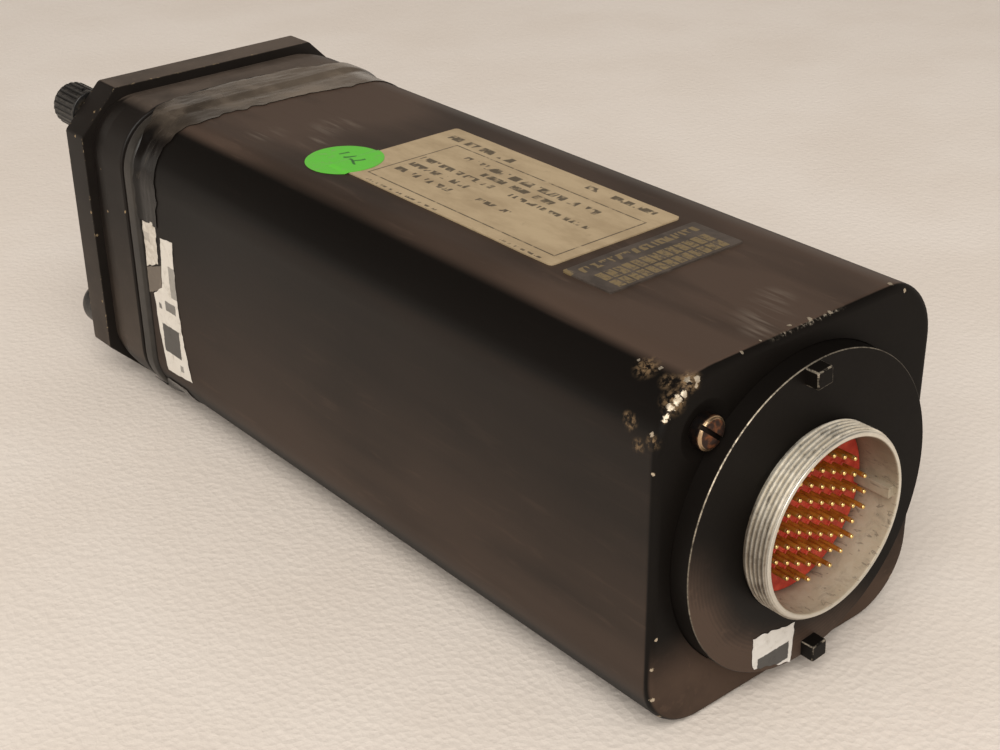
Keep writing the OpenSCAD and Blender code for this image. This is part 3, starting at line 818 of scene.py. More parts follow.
@dataclass(frozen=True)
class Shell(Finish):
    """Plated connector shell: white bloom and dirt, painted shade in the thread roots and down the
    bore, bright rim and thread crests.
    """

    thread_r: float = 20.65
    bore_r: float = 19.05
    face_y: float = 213.55
    rim_y: float = 223.75

    def mix_in(self, r: Recipe) -> None:
        """Adds the shell's nodes."""
        radius = r.radius()
        bloom = r.grain(2.6, 5, shift=4, roughness=0.7)
        dirt = r.grain(4.5, 5, shift=12, roughness=0.7, warp=0.5)
        fine = r.grain(0.35, 3, shift=2)
        inside = radius.step(self.bore_r + 0.45, self.bore_r + 0.05)
        crest = radius.step(self.thread_r - 0.22, self.thread_r - 0.06)
        rim = r.y.step(self.rim_y - 0.7, self.rim_y - 0.35)
        # Thread roots darkened together with the dirt below: painted shade.
        groove = radius.step(self.thread_r - 0.2, self.thread_r - 0.5) * (1 - inside) * (1 - rim)
        dark = (dirt.step(0.5, 0.66) * 0.55 + groove * 0.5).low(0.85)
        colour = r.mix(bloom.step(0.4, 0.65), "d8ccb5", "f7eedb")
        colour = r.mix(inside * 0.85, colour, "a3977f")
        colour = r.mix(dark * (1 - rim * 0.8) * (1 - inside * 0.45), colour, "3d372e")
        marks = r.grain(1.5, 3, (1, 0.35, 1), shift=40, warp=1.2)
        pencil = inside * marks.step(0.6, 0.64) * marks.step(0.7, 0.66)
        colour = r.mix(pencil * 0.55, colour, "4c453b")
        # The bore darkens towards the insert's face: painted shade deep in the recess.
        low = inside * r.y.step(self.face_y + 2.5, self.face_y)
        colour = r.mix(low * 0.6, colour, "4a3a2c")
        # The bore's upper wall, which faces down, darkens brown: painted shade, mottled by the
        # dirt grain.
        grime = inside * (r.z.step(-6, 12) * 0.8 + 0.2) * (0.5 + dirt * 0.5)
        colour = r.mix(grime, colour, "65523f")
        brown = (1 - inside) * (r.x * 0.5 - r.z).step(-8, 9) * (0.35 + dirt * 0.9)
        colour = r.mix(brown, colour, "453424")
        crest = crest * (1 - brown * 0.75)
        colour = r.mix((rim * 0.8 + crest * 0.5) * (1 - inside), colour, "ddd8cc")
        bright = (rim + crest * 0.7) * (1 - inside)
        r.surface(Base_Color=colour, Metallic=0.5 - inside * 0.3 + bright * 0.3 - dark * 0.3,
                  Roughness=0.44 - bright * 0.16 + fine * 0.12 + inside * 0.05,
                  Normal=r.relief(bloom * 0.6 + fine * 0.4, 0.05))


@dataclass(frozen=True)
class Plain(Finish):
    """Moulded or cast stuff of one colour, a little uneven."""

    colour: str = "1a1918"
    other: str = "2a2825"
    rough: float = 0.45
    lump: float = 5
    texture: float = 0.01
    texture_size: float = 0.5
    coat: float = 0

    def mix_in(self, r: Recipe) -> None:
        """Adds the stuff's nodes."""
        lumps = r.grain(self.lump, 4, roughness=0.6)
        fine = r.grain(self.texture_size, 2, shift=6)
        r.surface(Base_Color=r.mix(lumps.step(0.35, 0.7), self.colour, self.other),
                  Roughness=self.rough + lumps * 0.12 + fine * 0.06 - 0.09,
                  Normal=r.relief(fine, self.texture), Coat_Weight=self.coat)


@dataclass(frozen=True)
class Knob(Finish):
    """Hard black plastic with rubbed edges and grime between the ribs."""

    radius: float = 6
    centre: Point = (33.3, 33.3)

    def mix_in(self, r: Recipe) -> None:
        """Adds the knob's nodes."""
        out = r.radius(self.centre) - self.radius
        wear = out.step(-0.25, -0.02) * r.grain(1.2, 4, shift=3).step(0.4, 0.6)
        grime = out.step(-0.35, -0.8) * r.grain(0.9, 3).step(0.35, 0.7)
        colour = r.mix(wear * 0.4, "131211", "47423b")
        colour = r.mix(grime * 0.35, colour, "4a4136")
        r.surface(Base_Color=colour, Roughness=0.36 + grime * 0.3 + r.grain(0.6, 2) * 0.12,
                  Normal=r.relief(r.grain(0.5, 3, shift=8), 0.015))


@dataclass(frozen=True)
class Foil(Finish):
    """Printed metal plate: a ruled frame and broken rows that say nothing.

    The frame is (x, x, y, y), and a row (x, half its height, start, end, size of its gaps).
    """

    ground: str = "c9b28e"
    tint: str = "b59e7c"
    ink: str = "4b4235"
    frame: Point = (-11.3, 15.1, 92, 157)
    rows: tuple[Point, ...] = ()

    def mix_in(self, r: Recipe) -> None:
        """Adds the plate's nodes."""
        wipe = r.grain(7, 4, (1, 0.4, 1), shift=5, roughness=0.65)
        fine = r.grain(0.5, 3, shift=9)
        x0, x1, y0, y1 = self.frame
        filled, hollow = (r.x.band(x0 - out, x1 + out, 0.05) * r.y.band(y0 - out, y1 + out, 0.05)
                          for out in (0.3, -0.1))
        ink = filled - hollow
        for x, half, start, end, size in self.rows:
            broken = r.grain(size, 1, (0.35, 1, 0.35), shift=x * 3.1 + start).step(0.47, 0.5)
            row = r.x.band(x - half, x + half, 0.1) * r.y.band(start, end, 0.1)
            ink = ink.high(row * broken)
        ink = ink * r.grain(1.7, 4, shift=14).step(0.25, 0.5)
        stains = r.grain(5, 5, shift=25, roughness=0.7).step(0.6, 0.8)
        colour = r.mix(wipe.step(0.35, 0.7), self.ground, self.tint)
        colour = r.mix(stains * 0.4, colour, "7a674c")
        colour = r.mix(ink * 0.85, colour, self.ink)
        r.surface(Base_Color=colour, Metallic=0.35, Roughness=0.42 + wipe * 0.2 + fine * 0.08,
                  Normal=r.relief(wipe * 0.7 + fine * 0.3, 0.06))


@dataclass(frozen=True)
class CellPlate(Finish):
    """Dark plate with pale cells left blank, scraped at its lower left edge."""

    cell_rows: Point = (169.6, 173.3, 173.9, 177.2)
    cell_ends: Point = (-16.6, 15.9)
    cells_in_row: int = 13

    def mix_in(self, r: Recipe) -> None:
        """Adds the plate's nodes."""
        wipe = r.grain(5, 4, shift=5, roughness=0.65)
        pitch = (self.cell_ends[1] - self.cell_ends[0]) / self.cells_in_row
        across = r.maths("FRACT", (r.x - self.cell_ends[0]) * (1 / pitch))
        inside = across.band(0.1, 0.9, 0.04) * r.x.band(*self.cell_ends, 0.05)
        rows = r.y.band(*self.cell_rows[:2], 0.12).high(r.y.band(*self.cell_rows[2:], 0.12))
        worn = r.grain(1.3, 4, shift=11, roughness=0.7)
        pale = inside * rows * worn.step(0.34, 0.56)
        title = r.y.band(165.2, 167.6, 0.12) * r.x.band(-17.3, 16.3, 0.1)
        title = title * r.grain(1.15, 1, (1, 0.3, 0.3), shift=4).step(0.47, 0.5)
        scraped = r.x.step(15.5, 19) * r.y.step(170, 163.5) * 0.8 + worn * 0.8
        scraped = scraped.step(0.85, 0.97)
        pale = pale.high(title * 0.85).high(scraped)
        colour = r.mix(wipe.step(0.35, 0.7), "463d36", "5d5249")
        colour = r.mix(pale * 0.85, colour, "a18b62")
        r.surface(Base_Color=colour, Metallic=0.25 + pale * 0.3, Roughness=0.4 + wipe * 0.2,
                  Normal=r.relief(wipe * 0.6 + pale * 0.4, 0.05))


@dataclass(frozen=True)
class Paper(Finish):
    """Sticker paper with grime, and plain dark blocks or strokes in place of print.

    A block is (u, u, v, v, strength) on the paper's plane, and a stroke (u, v, u, v, width).
    """

    ground: str = "d8d2c6"
    ink: str = "1f1c1a"
    blocks: tuple[Point, ...] = ()
    plane: str = "yz"
    strokes: tuple[Point, ...] = ()
    shine: float = 0.5

    def mix_in(self, r: Recipe) -> None:
        """Adds the paper's nodes."""
        axes = {"x": r.x, "y": r.y, "z": r.z}
        u, v = (axes[a] for a in self.plane)
        dirt = r.grain(3, 5, shift=5, roughness=0.7)
        colour = r.mix(dirt.step(0.5, 0.8) * 0.6, self.ground, "8f8370")
        ragged = (r.grain(0.8, 3, shift=9) - 0.5) * 0.5
        for u0, u1, v0, v1, strength in self.blocks:
            block = (u + ragged).band(u0, u1, 0.1) * (v + ragged).band(v0, v1, 0.1)
            colour = r.mix(block * strength, colour, self.ink)
        for u0, v0, u1, v1, width in self.strokes:
            start, end = Vector((u0, v0)), Vector((u1, v1))
            way, mid = (end - start).normalized(), (start + end) / 2
            half = (end - start).length / 2
            bend = (r.grain(6, 1, shift=u0) - 0.5) * 3
            along = (u - mid.x) * way.x + (v - mid.y) * way.y
            aside = (u - mid.x) * way.y - (v - mid.y) * way.x + bend
            line = abs(along).step(half + 0.2, half) * abs(aside).step(width / 2 + 0.12, width / 2)
            colour = r.mix(line * 0.85, colour, self.ink)
        crease = r.grain(4, 3, shift=15, warp=0.8)
        r.surface(Base_Color=colour, Roughness=self.shine + dirt * 0.15,
                  Normal=r.relief(crease * 0.7 + r.grain(0.4, 2) * 0.1, 0.12))


@dataclass(frozen=True)
class GlossTape(Finish):
    """Black glossy plastic tape with wrinkles and scratches, pale where it lies flat: dust and
    painted reflection.
    """

    def mix_in(self, r: Recipe) -> None:
        """Adds the tape's nodes."""
        wrinkle = r.grain(7, 3, (0.35, 1, 0.35), shift=3, warp=0.6)
        scratch = r.grain(1.2, 3, (0.2, 1, 0.2), shift=13, warp=0.3).step(0.62, 0.72)
        haze = r.grain(9, 4, shift=23).step(0.4, 0.75)
        lying = r.facing_z.step(0.7, 0.97)
        # Pale on the faces that look up, more towards -X: dust with painted reflection.
        pale = lying * (haze * 0.4 + r.x.step(25, -15) * 0.35 + 0.2)
        colour = r.mix(pale, "100d0b", "75685a")
        colour = r.mix(scratch * 0.25, colour, "5d5348")
        normal = r.relief(r.grain(1.3, 2, (0.5, 1, 0.5)), 0.02, r.relief(wrinkle, 0.22))
        r.surface(Base_Color=colour, Roughness=0.2 + haze * 0.16 + scratch * 0.2,
                  Normal=normal, Specular_IOR_Level=0.3)


@dataclass(frozen=True)
class Gilt(Finish):
    """Gold plating, amber in the shade of its neighbours, with a painted highlight at the tips."""

    tip_y: float = 220.05

    def mix_in(self, r: Recipe) -> None:
        """Adds the gilding's nodes."""
        tip = r.y.step(self.tip_y - 1.1, self.tip_y - 0.35)
        tarnish = r.grain(2.5, 3, shift=5).step(0.35, 0.7)
        colour = r.mix(tarnish * (1 - tip), "b87a2c", "935818")
        # The paler gold at the tips is a painted highlight.
        r.surface(Base_Color=r.mix(tip, colour, "f2cf86"), Metallic=0.55 + tip * 0.4,
                  Roughness=0.3 - tip * 0.1 + r.grain(0.3, 2) * 0.1)


@dataclass(frozen=True)
class ScrewHead(Finish):
    """Bronze-brown screw head: a bright rim of rubbed metal with a painted highlight, rusty
    patches, and near-black painted shade in the slot and down the side.
    """

    centre: Point = (27.7, 27.7)
    radius: float = 3.6
    painted_shade_below_y: float = 213.95

    def mix_in(self, r: Recipe) -> None:
        """Adds the head's nodes."""
        out = r.radius(self.centre) - self.radius
        worn = r.grain(0.9, 4, shift=6, roughness=0.7)
        # The bright rim is rubbed metal with a painted highlight.
        rim = out.step(-0.75, -0.35) * out.step(0.05, -0.12)
        bright = (rim * 0.9 + worn * 0.9 - 0.72).step(0, 0.3)
        rust = r.grain(1.4, 4, shift=16).step(0.42, 0.68)
        colour = r.mix(rust, "33241e", "7a4a2c")
        colour = r.mix(bright, colour, "b59a7a")
        # Near-black below the slot's floor, in the slot and on the lower side of the head: painted
        # shade.
        colour = r.mix(r.y.step(self.painted_shade_below_y + 0.25, self.painted_shade_below_y) * 0.93, colour, "0c0a09")
        r.surface(Base_Color=colour, Metallic=0.65 + bright * 0.3, Roughness=0.42 - bright * 0.14
                  + worn * 0.12, Normal=r.relief(worn, 0.05))


@dataclass(frozen=True)
class Glass(Finish):
    """Clear flat glass with a little dust."""

    def mix_in(self, r: Recipe) -> None:
        """Adds the glass's nodes."""
        dust = r.grain(1.5, 4, shift=4, roughness=0.7).step(0.55, 0.9)
        r.surface(Base_Color=r.mix(dust, "e6eeee", "9aa0a0"), Roughness=0.03 + dust * 0.1,
                  Alpha=0.04 + dust * 0.05)


@dataclass(frozen=True)
class Floor(Finish):
    """Pale foam sheet with a fine pebbled grain."""

    def mix_in(self, r: Recipe) -> None:
        """Adds the sheet's nodes."""
        pebble = r.cells(1.9) * 0.7 + r.grain(1, 3) * 0.5
        broad = r.grain(60, 3, shift=4)
        fleck = r.grain(1.7, 2, shift=14).step(0.7, 0.82)
        colour = r.mix(broad.step(0.3, 0.7), "e4d9cd", "dfd3c6")
        colour = r.mix(fleck * 0.5, colour, "e9dfd4")
        r.surface(Base_Color=colour, Roughness=0.62, Normal=r.relief(pebble, 0.22))


# Pieces of the outside


@dataclass
class Case:
    """Drawn case with a rounded rear edge, open at the front."""

    half: float = 40.325
    corner: float = 24.825
    wall: float = 1.2
    rear_wall: float = 2
    front: float = 24.2
    back: float = 212.75
    edge: float = 1.9
    hole_r: float = 35.5
    dish_depth: float = 0.7
    screw_at: float = 27.7
    screw_r: float = 3.6
    shank_r: float = 1.9
    screw_end_y: float = 206
    head_height: float = 2.45
    dome_r: float = 3.35
    dome_height: float = 0.85
    slot_angle: float = 40
    chips: tuple[Point, ...] = (
        (31.3, 211, 38.9, 1.5), (29.8, 212.2, 38.8, 1.2), (30.3, 212.7, 37.8, 0.9),
        (33.1, 212.4, 37, 1.2), (34.7, 212.1, 36.1, 1.7), (36, 211.8, 35.2, 1.4),
        (37.1, 212, 33.6, 1.1), (37.6, 212, 32.9, 1), (31.6, 204.7, 38.8, 0.7),
        (32, 199.4, 38.6, 0.5), (39.4, 210.6, 30.2, 0.8), (39.2, 212.6, -21.7, 0.7),
        (38.7, 212.5, -29.4, 1), (38.5, 212.7, -14.7, 0.6), (40, 211.9, 22.7, 0.7),
        (3, 210.6, 40.3, 0.8), (-2.2, 211.1, 40.3, 1), (-7.4, 211.7, 40.1, 0.8),
        (-26.6, 211, 40.2, 1), (-29.6, 212.6, 38.3, 0.8), (17.7, 211.8, 40, 0.6),
        (11.9, 211.1, 40.3, 0.5), (33, 24.6, -38.3, 0.8), (-36, 212, -34, 1.3),
        (-39.6, 211.6, -12, 0.8), (36, 211.8, -35.4, 1.1))
    scuffs: tuple[Point, ...] = (
        (39.3, 205, 30.4, 2.2), (39.1, 203.9, 31, 1.6), (39.5, 211, 28.9, 2),
        (32.5, 202, 38.4, 3.5), (31.5, 211.5, 38.8, 3.5), (35, 211.5, 36, 3.5),
        (39.9, 208, 27, 2), (33, 208, 37.8, 2.4))
    smears: tuple[Point, ...] = (
        (4, 205, 40.3, 8), (-4, 200, 40.3, 6), (9, 208, 40.3, 5), (18, 53, 40.3, 7),
        (2, 60, 40.3, 9), (12, 66, 40.3, 6))

    def finish(self) -> Paint:
        """The case's paint."""
        return CasePaint("satin_case_paint", chips=self.chips, scuffs=self.scuffs,
                         smears=self.smears, worn_edges=0.35)

    def build_body(self) -> Piece:
        """Builds the case with its rear hole and the dish round the screw."""
        inner = self.half - self.wall
        floor_y = self.back - self.rear_wall
        profile = eased([(inner - 3, floor_y), (inner, floor_y, 0.8), (inner, self.front),
                         (self.half, self.front, 0.25), (self.half, self.back, self.edge),
                         (self.half - 3, self.back)], 6)
        body = Piece.squared("case_body", profile, self.corner, 14).capped()
        hole = Piece.rod("hole", self.hole_r, (floor_y - 1, self.back + 1), steps=128)
        body.joined(hole, Joining.TAKE_AWAY)
        seat, brim = self.back - self.dish_depth, self.back + 0.02
        dish = eased([(0, seat), (3.9, seat, 1), (6.4, brim, 1), (7, brim), (7, self.back + 1),
                      (0, self.back + 1)])
        centre = (self.screw_at, self.screw_at)
        body.joined(Piece.turned("dish", dish, centre, 48), Joining.TAKE_AWAY)
        return body.smooth(30)

    def build_screw(self) -> Piece:
        """Builds the slotted screw in the rear wall."""
        seat = self.back - self.dish_depth
        edge, r = seat + self.head_height, self.screw_r
        dome = [(self.dome_r * math.sin(a), edge + self.dome_height * math.cos(a))
                for a in (QUARTER * (1 - k / 8) for k in range(9))]
        profile = [(0, self.screw_end_y), (self.shank_r, self.screw_end_y), (self.shank_r, seat),
                   (r - 0.1, seat), (r, seat + 0.1), (r, edge - 0.25), (r - 0.08, edge - 0.05)]
        at = self.screw_at
        screw = Piece.turned("slotted_screw", profile + dome, (at, at), 48)
        slot = Piece.slab("slot", (-5, edge - 0.7, -0.5), (5, seat + 5, 0.5))
        turn = turn_y(-self.slot_angle)
        slot.reshaped(lambda p: turn @ p + Vector((at, 0, at)))
        screw.joined(slot, Joining.TAKE_AWAY)
        return screw.eased_edges(0.07, 2).smooth(30)

    def build(self) -> None:
        """Builds and dresses the case and its screw."""
        self.build_body().dress(self.finish(), "housing", "case_paint", "case")
        self.build_screw().dress(ScrewHead("screw_bronze"), "housing", "worn_screw", "case_screw")


@dataclass
class Bezel:
    """Front casting: cornered flange, plain band, skirt and the bead behind the band."""

    flange_half: float = 42.3
    flange_t: float = 9.65
    cut: float = 11.3
    bevel: float = 0.8
    window_r: float = 33
    lip_y: float = -6.65
    seat_r: float = 35.5
    knobs: tuple[Point, ...] = ((33.3, 33.3), (33.3, -26.6))
    bushing_r: float = 3
    corner: float = 25.5
    chips: tuple[Point, ...] = (
        (42.3, -0.5, 9.7, 0.9), (41.7, 0, 3, 0.7), (40.7, 5.9, 11.5, 0.8), (40.7, 16.4, 14.5, 0.8),
        (40.7, 5, 23.3, 0.6), (42.3, -3.9, 30.5, 0.7), (37, -2, 36.6, 0.9), (42.3, -1, -17, 0.8),
        (20, -0.4, 42.3, 0.6), (-12, -0.4, 42.3, 0.5), (-31.5, -4, 41.8, 0.9))

    def build_flange(self) -> Piece:
        """Builds the flange with its window and bushing holes."""
        front = -self.flange_t
        flange = Piece.begin("bezel_body", bpy.ops.mesh.primitive_plane_add, (0, front, 0),
                             (-QUARTER, 0, 0), size=2 * self.flange_half * MM)
        flange.choose(Element.POINT, lambda at, way: True).rounded(self.cut, 1, points=True)
        bpy.ops.mesh.select_all(action="SELECT")
        flange.push((0, self.flange_t, 0)).cleaned()
        flange.choose(Element.EDGE, lambda at, way: abs(way.y) > 0.9).rounded(0.5, 2)
        flange.choose(Element.EDGE, lambda at, way: at.y < front + 0.01).rounded(self.bevel, 2)
        flange.choose(Element.EDGE, lambda at, way: at.y > -0.01).rounded(0.25, 2).cleaned()
        window = eased([(0, front - 1), (self.window_r + 3, front - 1),
                        (self.window_r, self.lip_y - 0.8, 0.3), (self.window_r, self.lip_y),
                        (self.seat_r, self.lip_y), (self.seat_r, 1), (0, 1)])
        flange.joined(Piece.turned("window", window, steps=128), Joining.TAKE_AWAY)
        for centre in self.knobs:
            hole = Piece.rod("hole", self.bushing_r, (front - 1, 1), centre, 32)
            flange.joined(hole, Joining.TAKE_AWAY)
        return flange

    def build_body(self) -> Piece:
        """Builds the flange, the slightly barrelled band behind it and the skirt."""
        body = self.build_flange()
        band = eased([(39, -0.4), (39.6, -0.4), (39.75, 0.9, 1), (40.3, 3.2, 3), (40.7, 7.5, 6),
                      (40.7, 16.9, 0.6), (39.9, 17), (39.9, 18.3), (37.6, 18.3), (37.6, 17),
                      (39, 17), (39, -0.4)])
        skirt = eased([(37.425, 17.3), (38.925, 17.3), (38.925, 32, 0.3), (37.425, 32, 0.3),
                       (37.425, 17.3)], 2)
        body.joined(Piece.squared("band", band, self.corner), Joining.ADD)
        body.joined(Piece.squared("skirt", skirt, Case.corner), Joining.ADD)
        return body.smooth(30)

    def build_bead(self) -> Piece:
        """Builds the rubber bead between the band and the case."""
        profile = eased([(38.93, 18.31), (41, 18.31, 1.2), (41, 23.4, 1.2), (39.9, 23.4),
                         (39.9, 24.2), (38.93, 24.2), (38.93, 18.31)])
        return Piece.squared("seal_bead", profile, self.corner).smooth(40)

    def build(self) -> None:
        """Builds and dresses the bezel and the bead."""
        paint = BezelPaint("satin_bezel_paint", colour="120f0d", dust_and_light_film="584c42", gloss=0.34,
                           run=(1, 1, 1), chips=self.chips, worn_edges=0.1, metal="cdb48c")
        self.build_body().dress(paint, "housing", "bezel_paint", "bezel")
        rubber = Plain("bead_rubber", "16130f", "2b2620", 0.42, 8, 0.02, 0.8)
        self.build_bead().dress(rubber, "housing", "rubber", "case_seal")


@dataclass
class RearBoss:
    """Round boss behind the case, with its two keying lugs."""

    radius: float = 35.3
    bore_r: float = 20.15
    plate_half: float = 37.5
    plate_corner: float = 25
    plate_y: float = 204
    floor_y: float = 210.75
    face_y: float = 217.35
    lug_angles: tuple[float, float] = (84, 266)
    lug_width: float = 4.4
    lug_depth: float = 4
    lug_height: float = 3.3

    def build_lug(self, angle: float) -> Piece:
        """Builds one lug, whose outer face follows the rim."""
        low = (self.radius - self.lug_depth, self.face_y - 1, -self.lug_width / 2)
        high = (self.radius + 2, self.face_y + self.lug_height, self.lug_width / 2)
        lug = Piece.slab("lug", low, high)
        rim = Piece.rod("rim", self.radius, (low[1] - 1, high[1] + 1), steps=128)
        lug.joined(rim, Joining.KEEP_COMMON).eased_edges(0.75, 3)
        turn = turn_y(-angle)
        return lug.reshaped(lambda at: turn @ at)

    def build(self) -> None:
        """Builds and dresses the boss."""
        low, face, floor = self.plate_y, self.face_y, self.floor_y
        profile = eased([(self.bore_r, low), (self.radius, low), (self.radius, face, 0.3),
                         (self.bore_r, face), (self.bore_r, low)])
        boss = Piece.turned("boss_body", profile, steps=160)
        inner, low = self.plate_corner + 1, low + 0.01
        base = eased([(inner, low), (self.plate_half, low, 0.3), (self.plate_half, floor, 0.3),
                      (inner, floor)], 2)
        square = Piece.squared("base", base, self.plate_corner).capped()
        bore = Piece.rod("bore", self.bore_r + 2, (low - 4, floor + 4))
        square.joined(bore, Joining.TAKE_AWAY)
        boss.joined(square, Joining.ADD)
        for angle in self.lug_angles:
            boss.joined(self.build_lug(angle), Joining.ADD)
        paint = BossPaint("boss_paint", gloss=0.4, run=(1, 1, 1), peel=0.02, worn_edges=1)
        boss.smooth(30).dress(paint, "housing", "case_paint", "rear_boss")


@dataclass
class Connector:
    """Threaded shell with its key, red insert and gold contacts."""

    thread_r: float = 20.65
    root_r: float = 20.1
    bore_r: float = 19.05
    insert_r: float = 17.8
    neck_r: float = 20.05
    flange_r: float = 24.5
    flange_y: float = 201
    boss_plate_y: float = 204
    thread_y: tuple[float, float] = (217.8, 223.2)
    pitch: float = 1.1
    face_y: float = 213.55
    rim_y: float = 223.75
    key_width: float = 2.6
    key_height: float = 1.7
    pin_r: float = 0.51
    pin_start_y: float = 209
    pin_end_y: float = 220.05
    pin_pitch: float = 3.81
    pin_turn: float = 26
    rows: tuple[int, ...] = (3, 6, 7, 8, 7, 8, 7, 6, 3)

    def places(self) -> list[Vector]:
        """Centres of the contacts, as points with no height."""
        turn = turn_y(-self.pin_turn)
        return [turn @ Vector(((i - (count - 1) / 2) * self.pin_pitch, 0,
                               (row - 4) * self.pin_pitch * math.sqrt(3) / 2))
                for row, count in enumerate(self.rows) for i in range(count)]

    def build_thread(self) -> Piece:
        """Builds the thread's ridge as a helix that runs out at both ends."""
        start, end = self.thread_y
        low, crest, half = self.root_r - 0.2, self.thread_r, self.pitch * 0.46
        y = start - self.pitch * 0.5
        corners = [(low, y - half, 0), (self.root_r, y - half, 0), (crest, y - 0.12, 0),
                   (crest, y + 0.12, 0), (self.root_r, y + half, 0), (low, y + half, 0)]
        ridge = Piece.line("ridge", corners + corners[:1]).cleaned()
        ridge.modified("SCREW", axis="Y", steps=72, render_steps=72, screw_offset=self.pitch * MM,
                       iterations=round((end - start) / self.pitch) + 1).capped()
        keep = [(0, start - 0.2), (self.root_r, start - 0.2), (crest + 0.05, start + 0.3),
                (crest + 0.05, end - 0.3), (self.root_r - 0.1, end + 0.25), (0, end + 0.25)]
        return ridge.joined(Piece.turned("run_out", keep, steps=96), Joining.KEEP_COMMON)

    def build_shell(self) -> Piece:
        """Builds the shell with its thread and key."""
        rim = self.rim_y
        low, plate_y, neck, flange = self.flange_y, self.boss_plate_y, self.neck_r, self.flange_r
        profile = eased([(self.insert_r, low), (flange, low), (flange, plate_y), (neck, plate_y),
                         (neck, self.thread_y[0] - 0.3), (self.root_r, self.thread_y[0]),
                         (self.root_r, rim, 0.25), (self.bore_r, rim, 0.3),
                         (self.bore_r, self.face_y), (self.insert_r, self.face_y),
                         (self.insert_r, low)])
        shell = Piece.turned("shell_body", profile, steps=128)
        shell.joined(self.build_thread(), Joining.ADD)
        key = Piece.slab("key", (-self.bore_r - 0.3, self.face_y - 0.2, -self.key_width / 2),
                         (self.key_height - self.bore_r, rim - 1, self.key_width / 2))
        key.eased_edges(0.25, 2)
        return shell.joined(key, Joining.ADD).smooth(38)

    def build_insert(self) -> Piece:
        """Builds the insert, whose lip reaches the wall, with a collar at each contact."""
        face = self.face_y
        lip_r, body_r, back = self.bore_r - 0.05, self.insert_r - 0.02, self.boss_plate_y + 1
        profile = eased([(0, back), (body_r, back), (body_r, face + 0.02), (lip_r, face + 0.02),
                         (lip_r, face + 0.35, 0.2), (17.9, face + 0.2, 0.3), (0, face + 0.2)])
        body = Piece.turned("red_insert", profile, steps=96)
        first, *others = self.places()
        ring = [(self.pin_r, face + 0.1), (0.98, face + 0.1), (0.9, face + 0.55),
                (0.72, face + 0.66), (self.pin_r, face + 0.6)]
        collar = Piece.turned("collar", ring, (first.x, first.z), 14)
        collar.repeated([lambda at, p=p: at + p - first for p in others])
        return body.gathered([collar]).smooth(40)

    def build_contacts(self) -> Piece:
        """Builds one contact with its rounded tip, and copies it to every place."""
        first, *others = self.places()
        start, end, r = self.pin_start_y, self.pin_end_y, self.pin_r
        waist = start + 5.4
        tip = [(r * share, end - down) for share, down in
               ((1, 0.42), (0.9, 0.22), (0.66, 0.08), (0.34, 0.01), (0, 0))]
        profile = [(0, start), (r, start), (r, waist), (r - 0.05, waist + 0.2),
                   (r - 0.05, waist + 0.9), (r, waist + 1.1)] + tip
        pin = Piece.turned("gold_contacts", profile, (first.x, first.z), 12)
        pin.repeated([lambda at, p=p: at + p - first for p in others])
        return pin.smooth(50)

    def build(self) -> None:
        """Builds and dresses the connector."""
        self.build_shell().dress(Shell("shell_plating"), "housing", "bare_aluminium",
                                 "connector_shell")
        red = Plain("insert_rubber", "a93224", "c84a35", 0.42, 3, 0.3, 2.6)
        self.build_insert().dress(red, "housing", "insert_red", "connector_insert")
        self.build_contacts().dress(Gilt("contact_gold"), "housing", "gold", "connector_contacts")


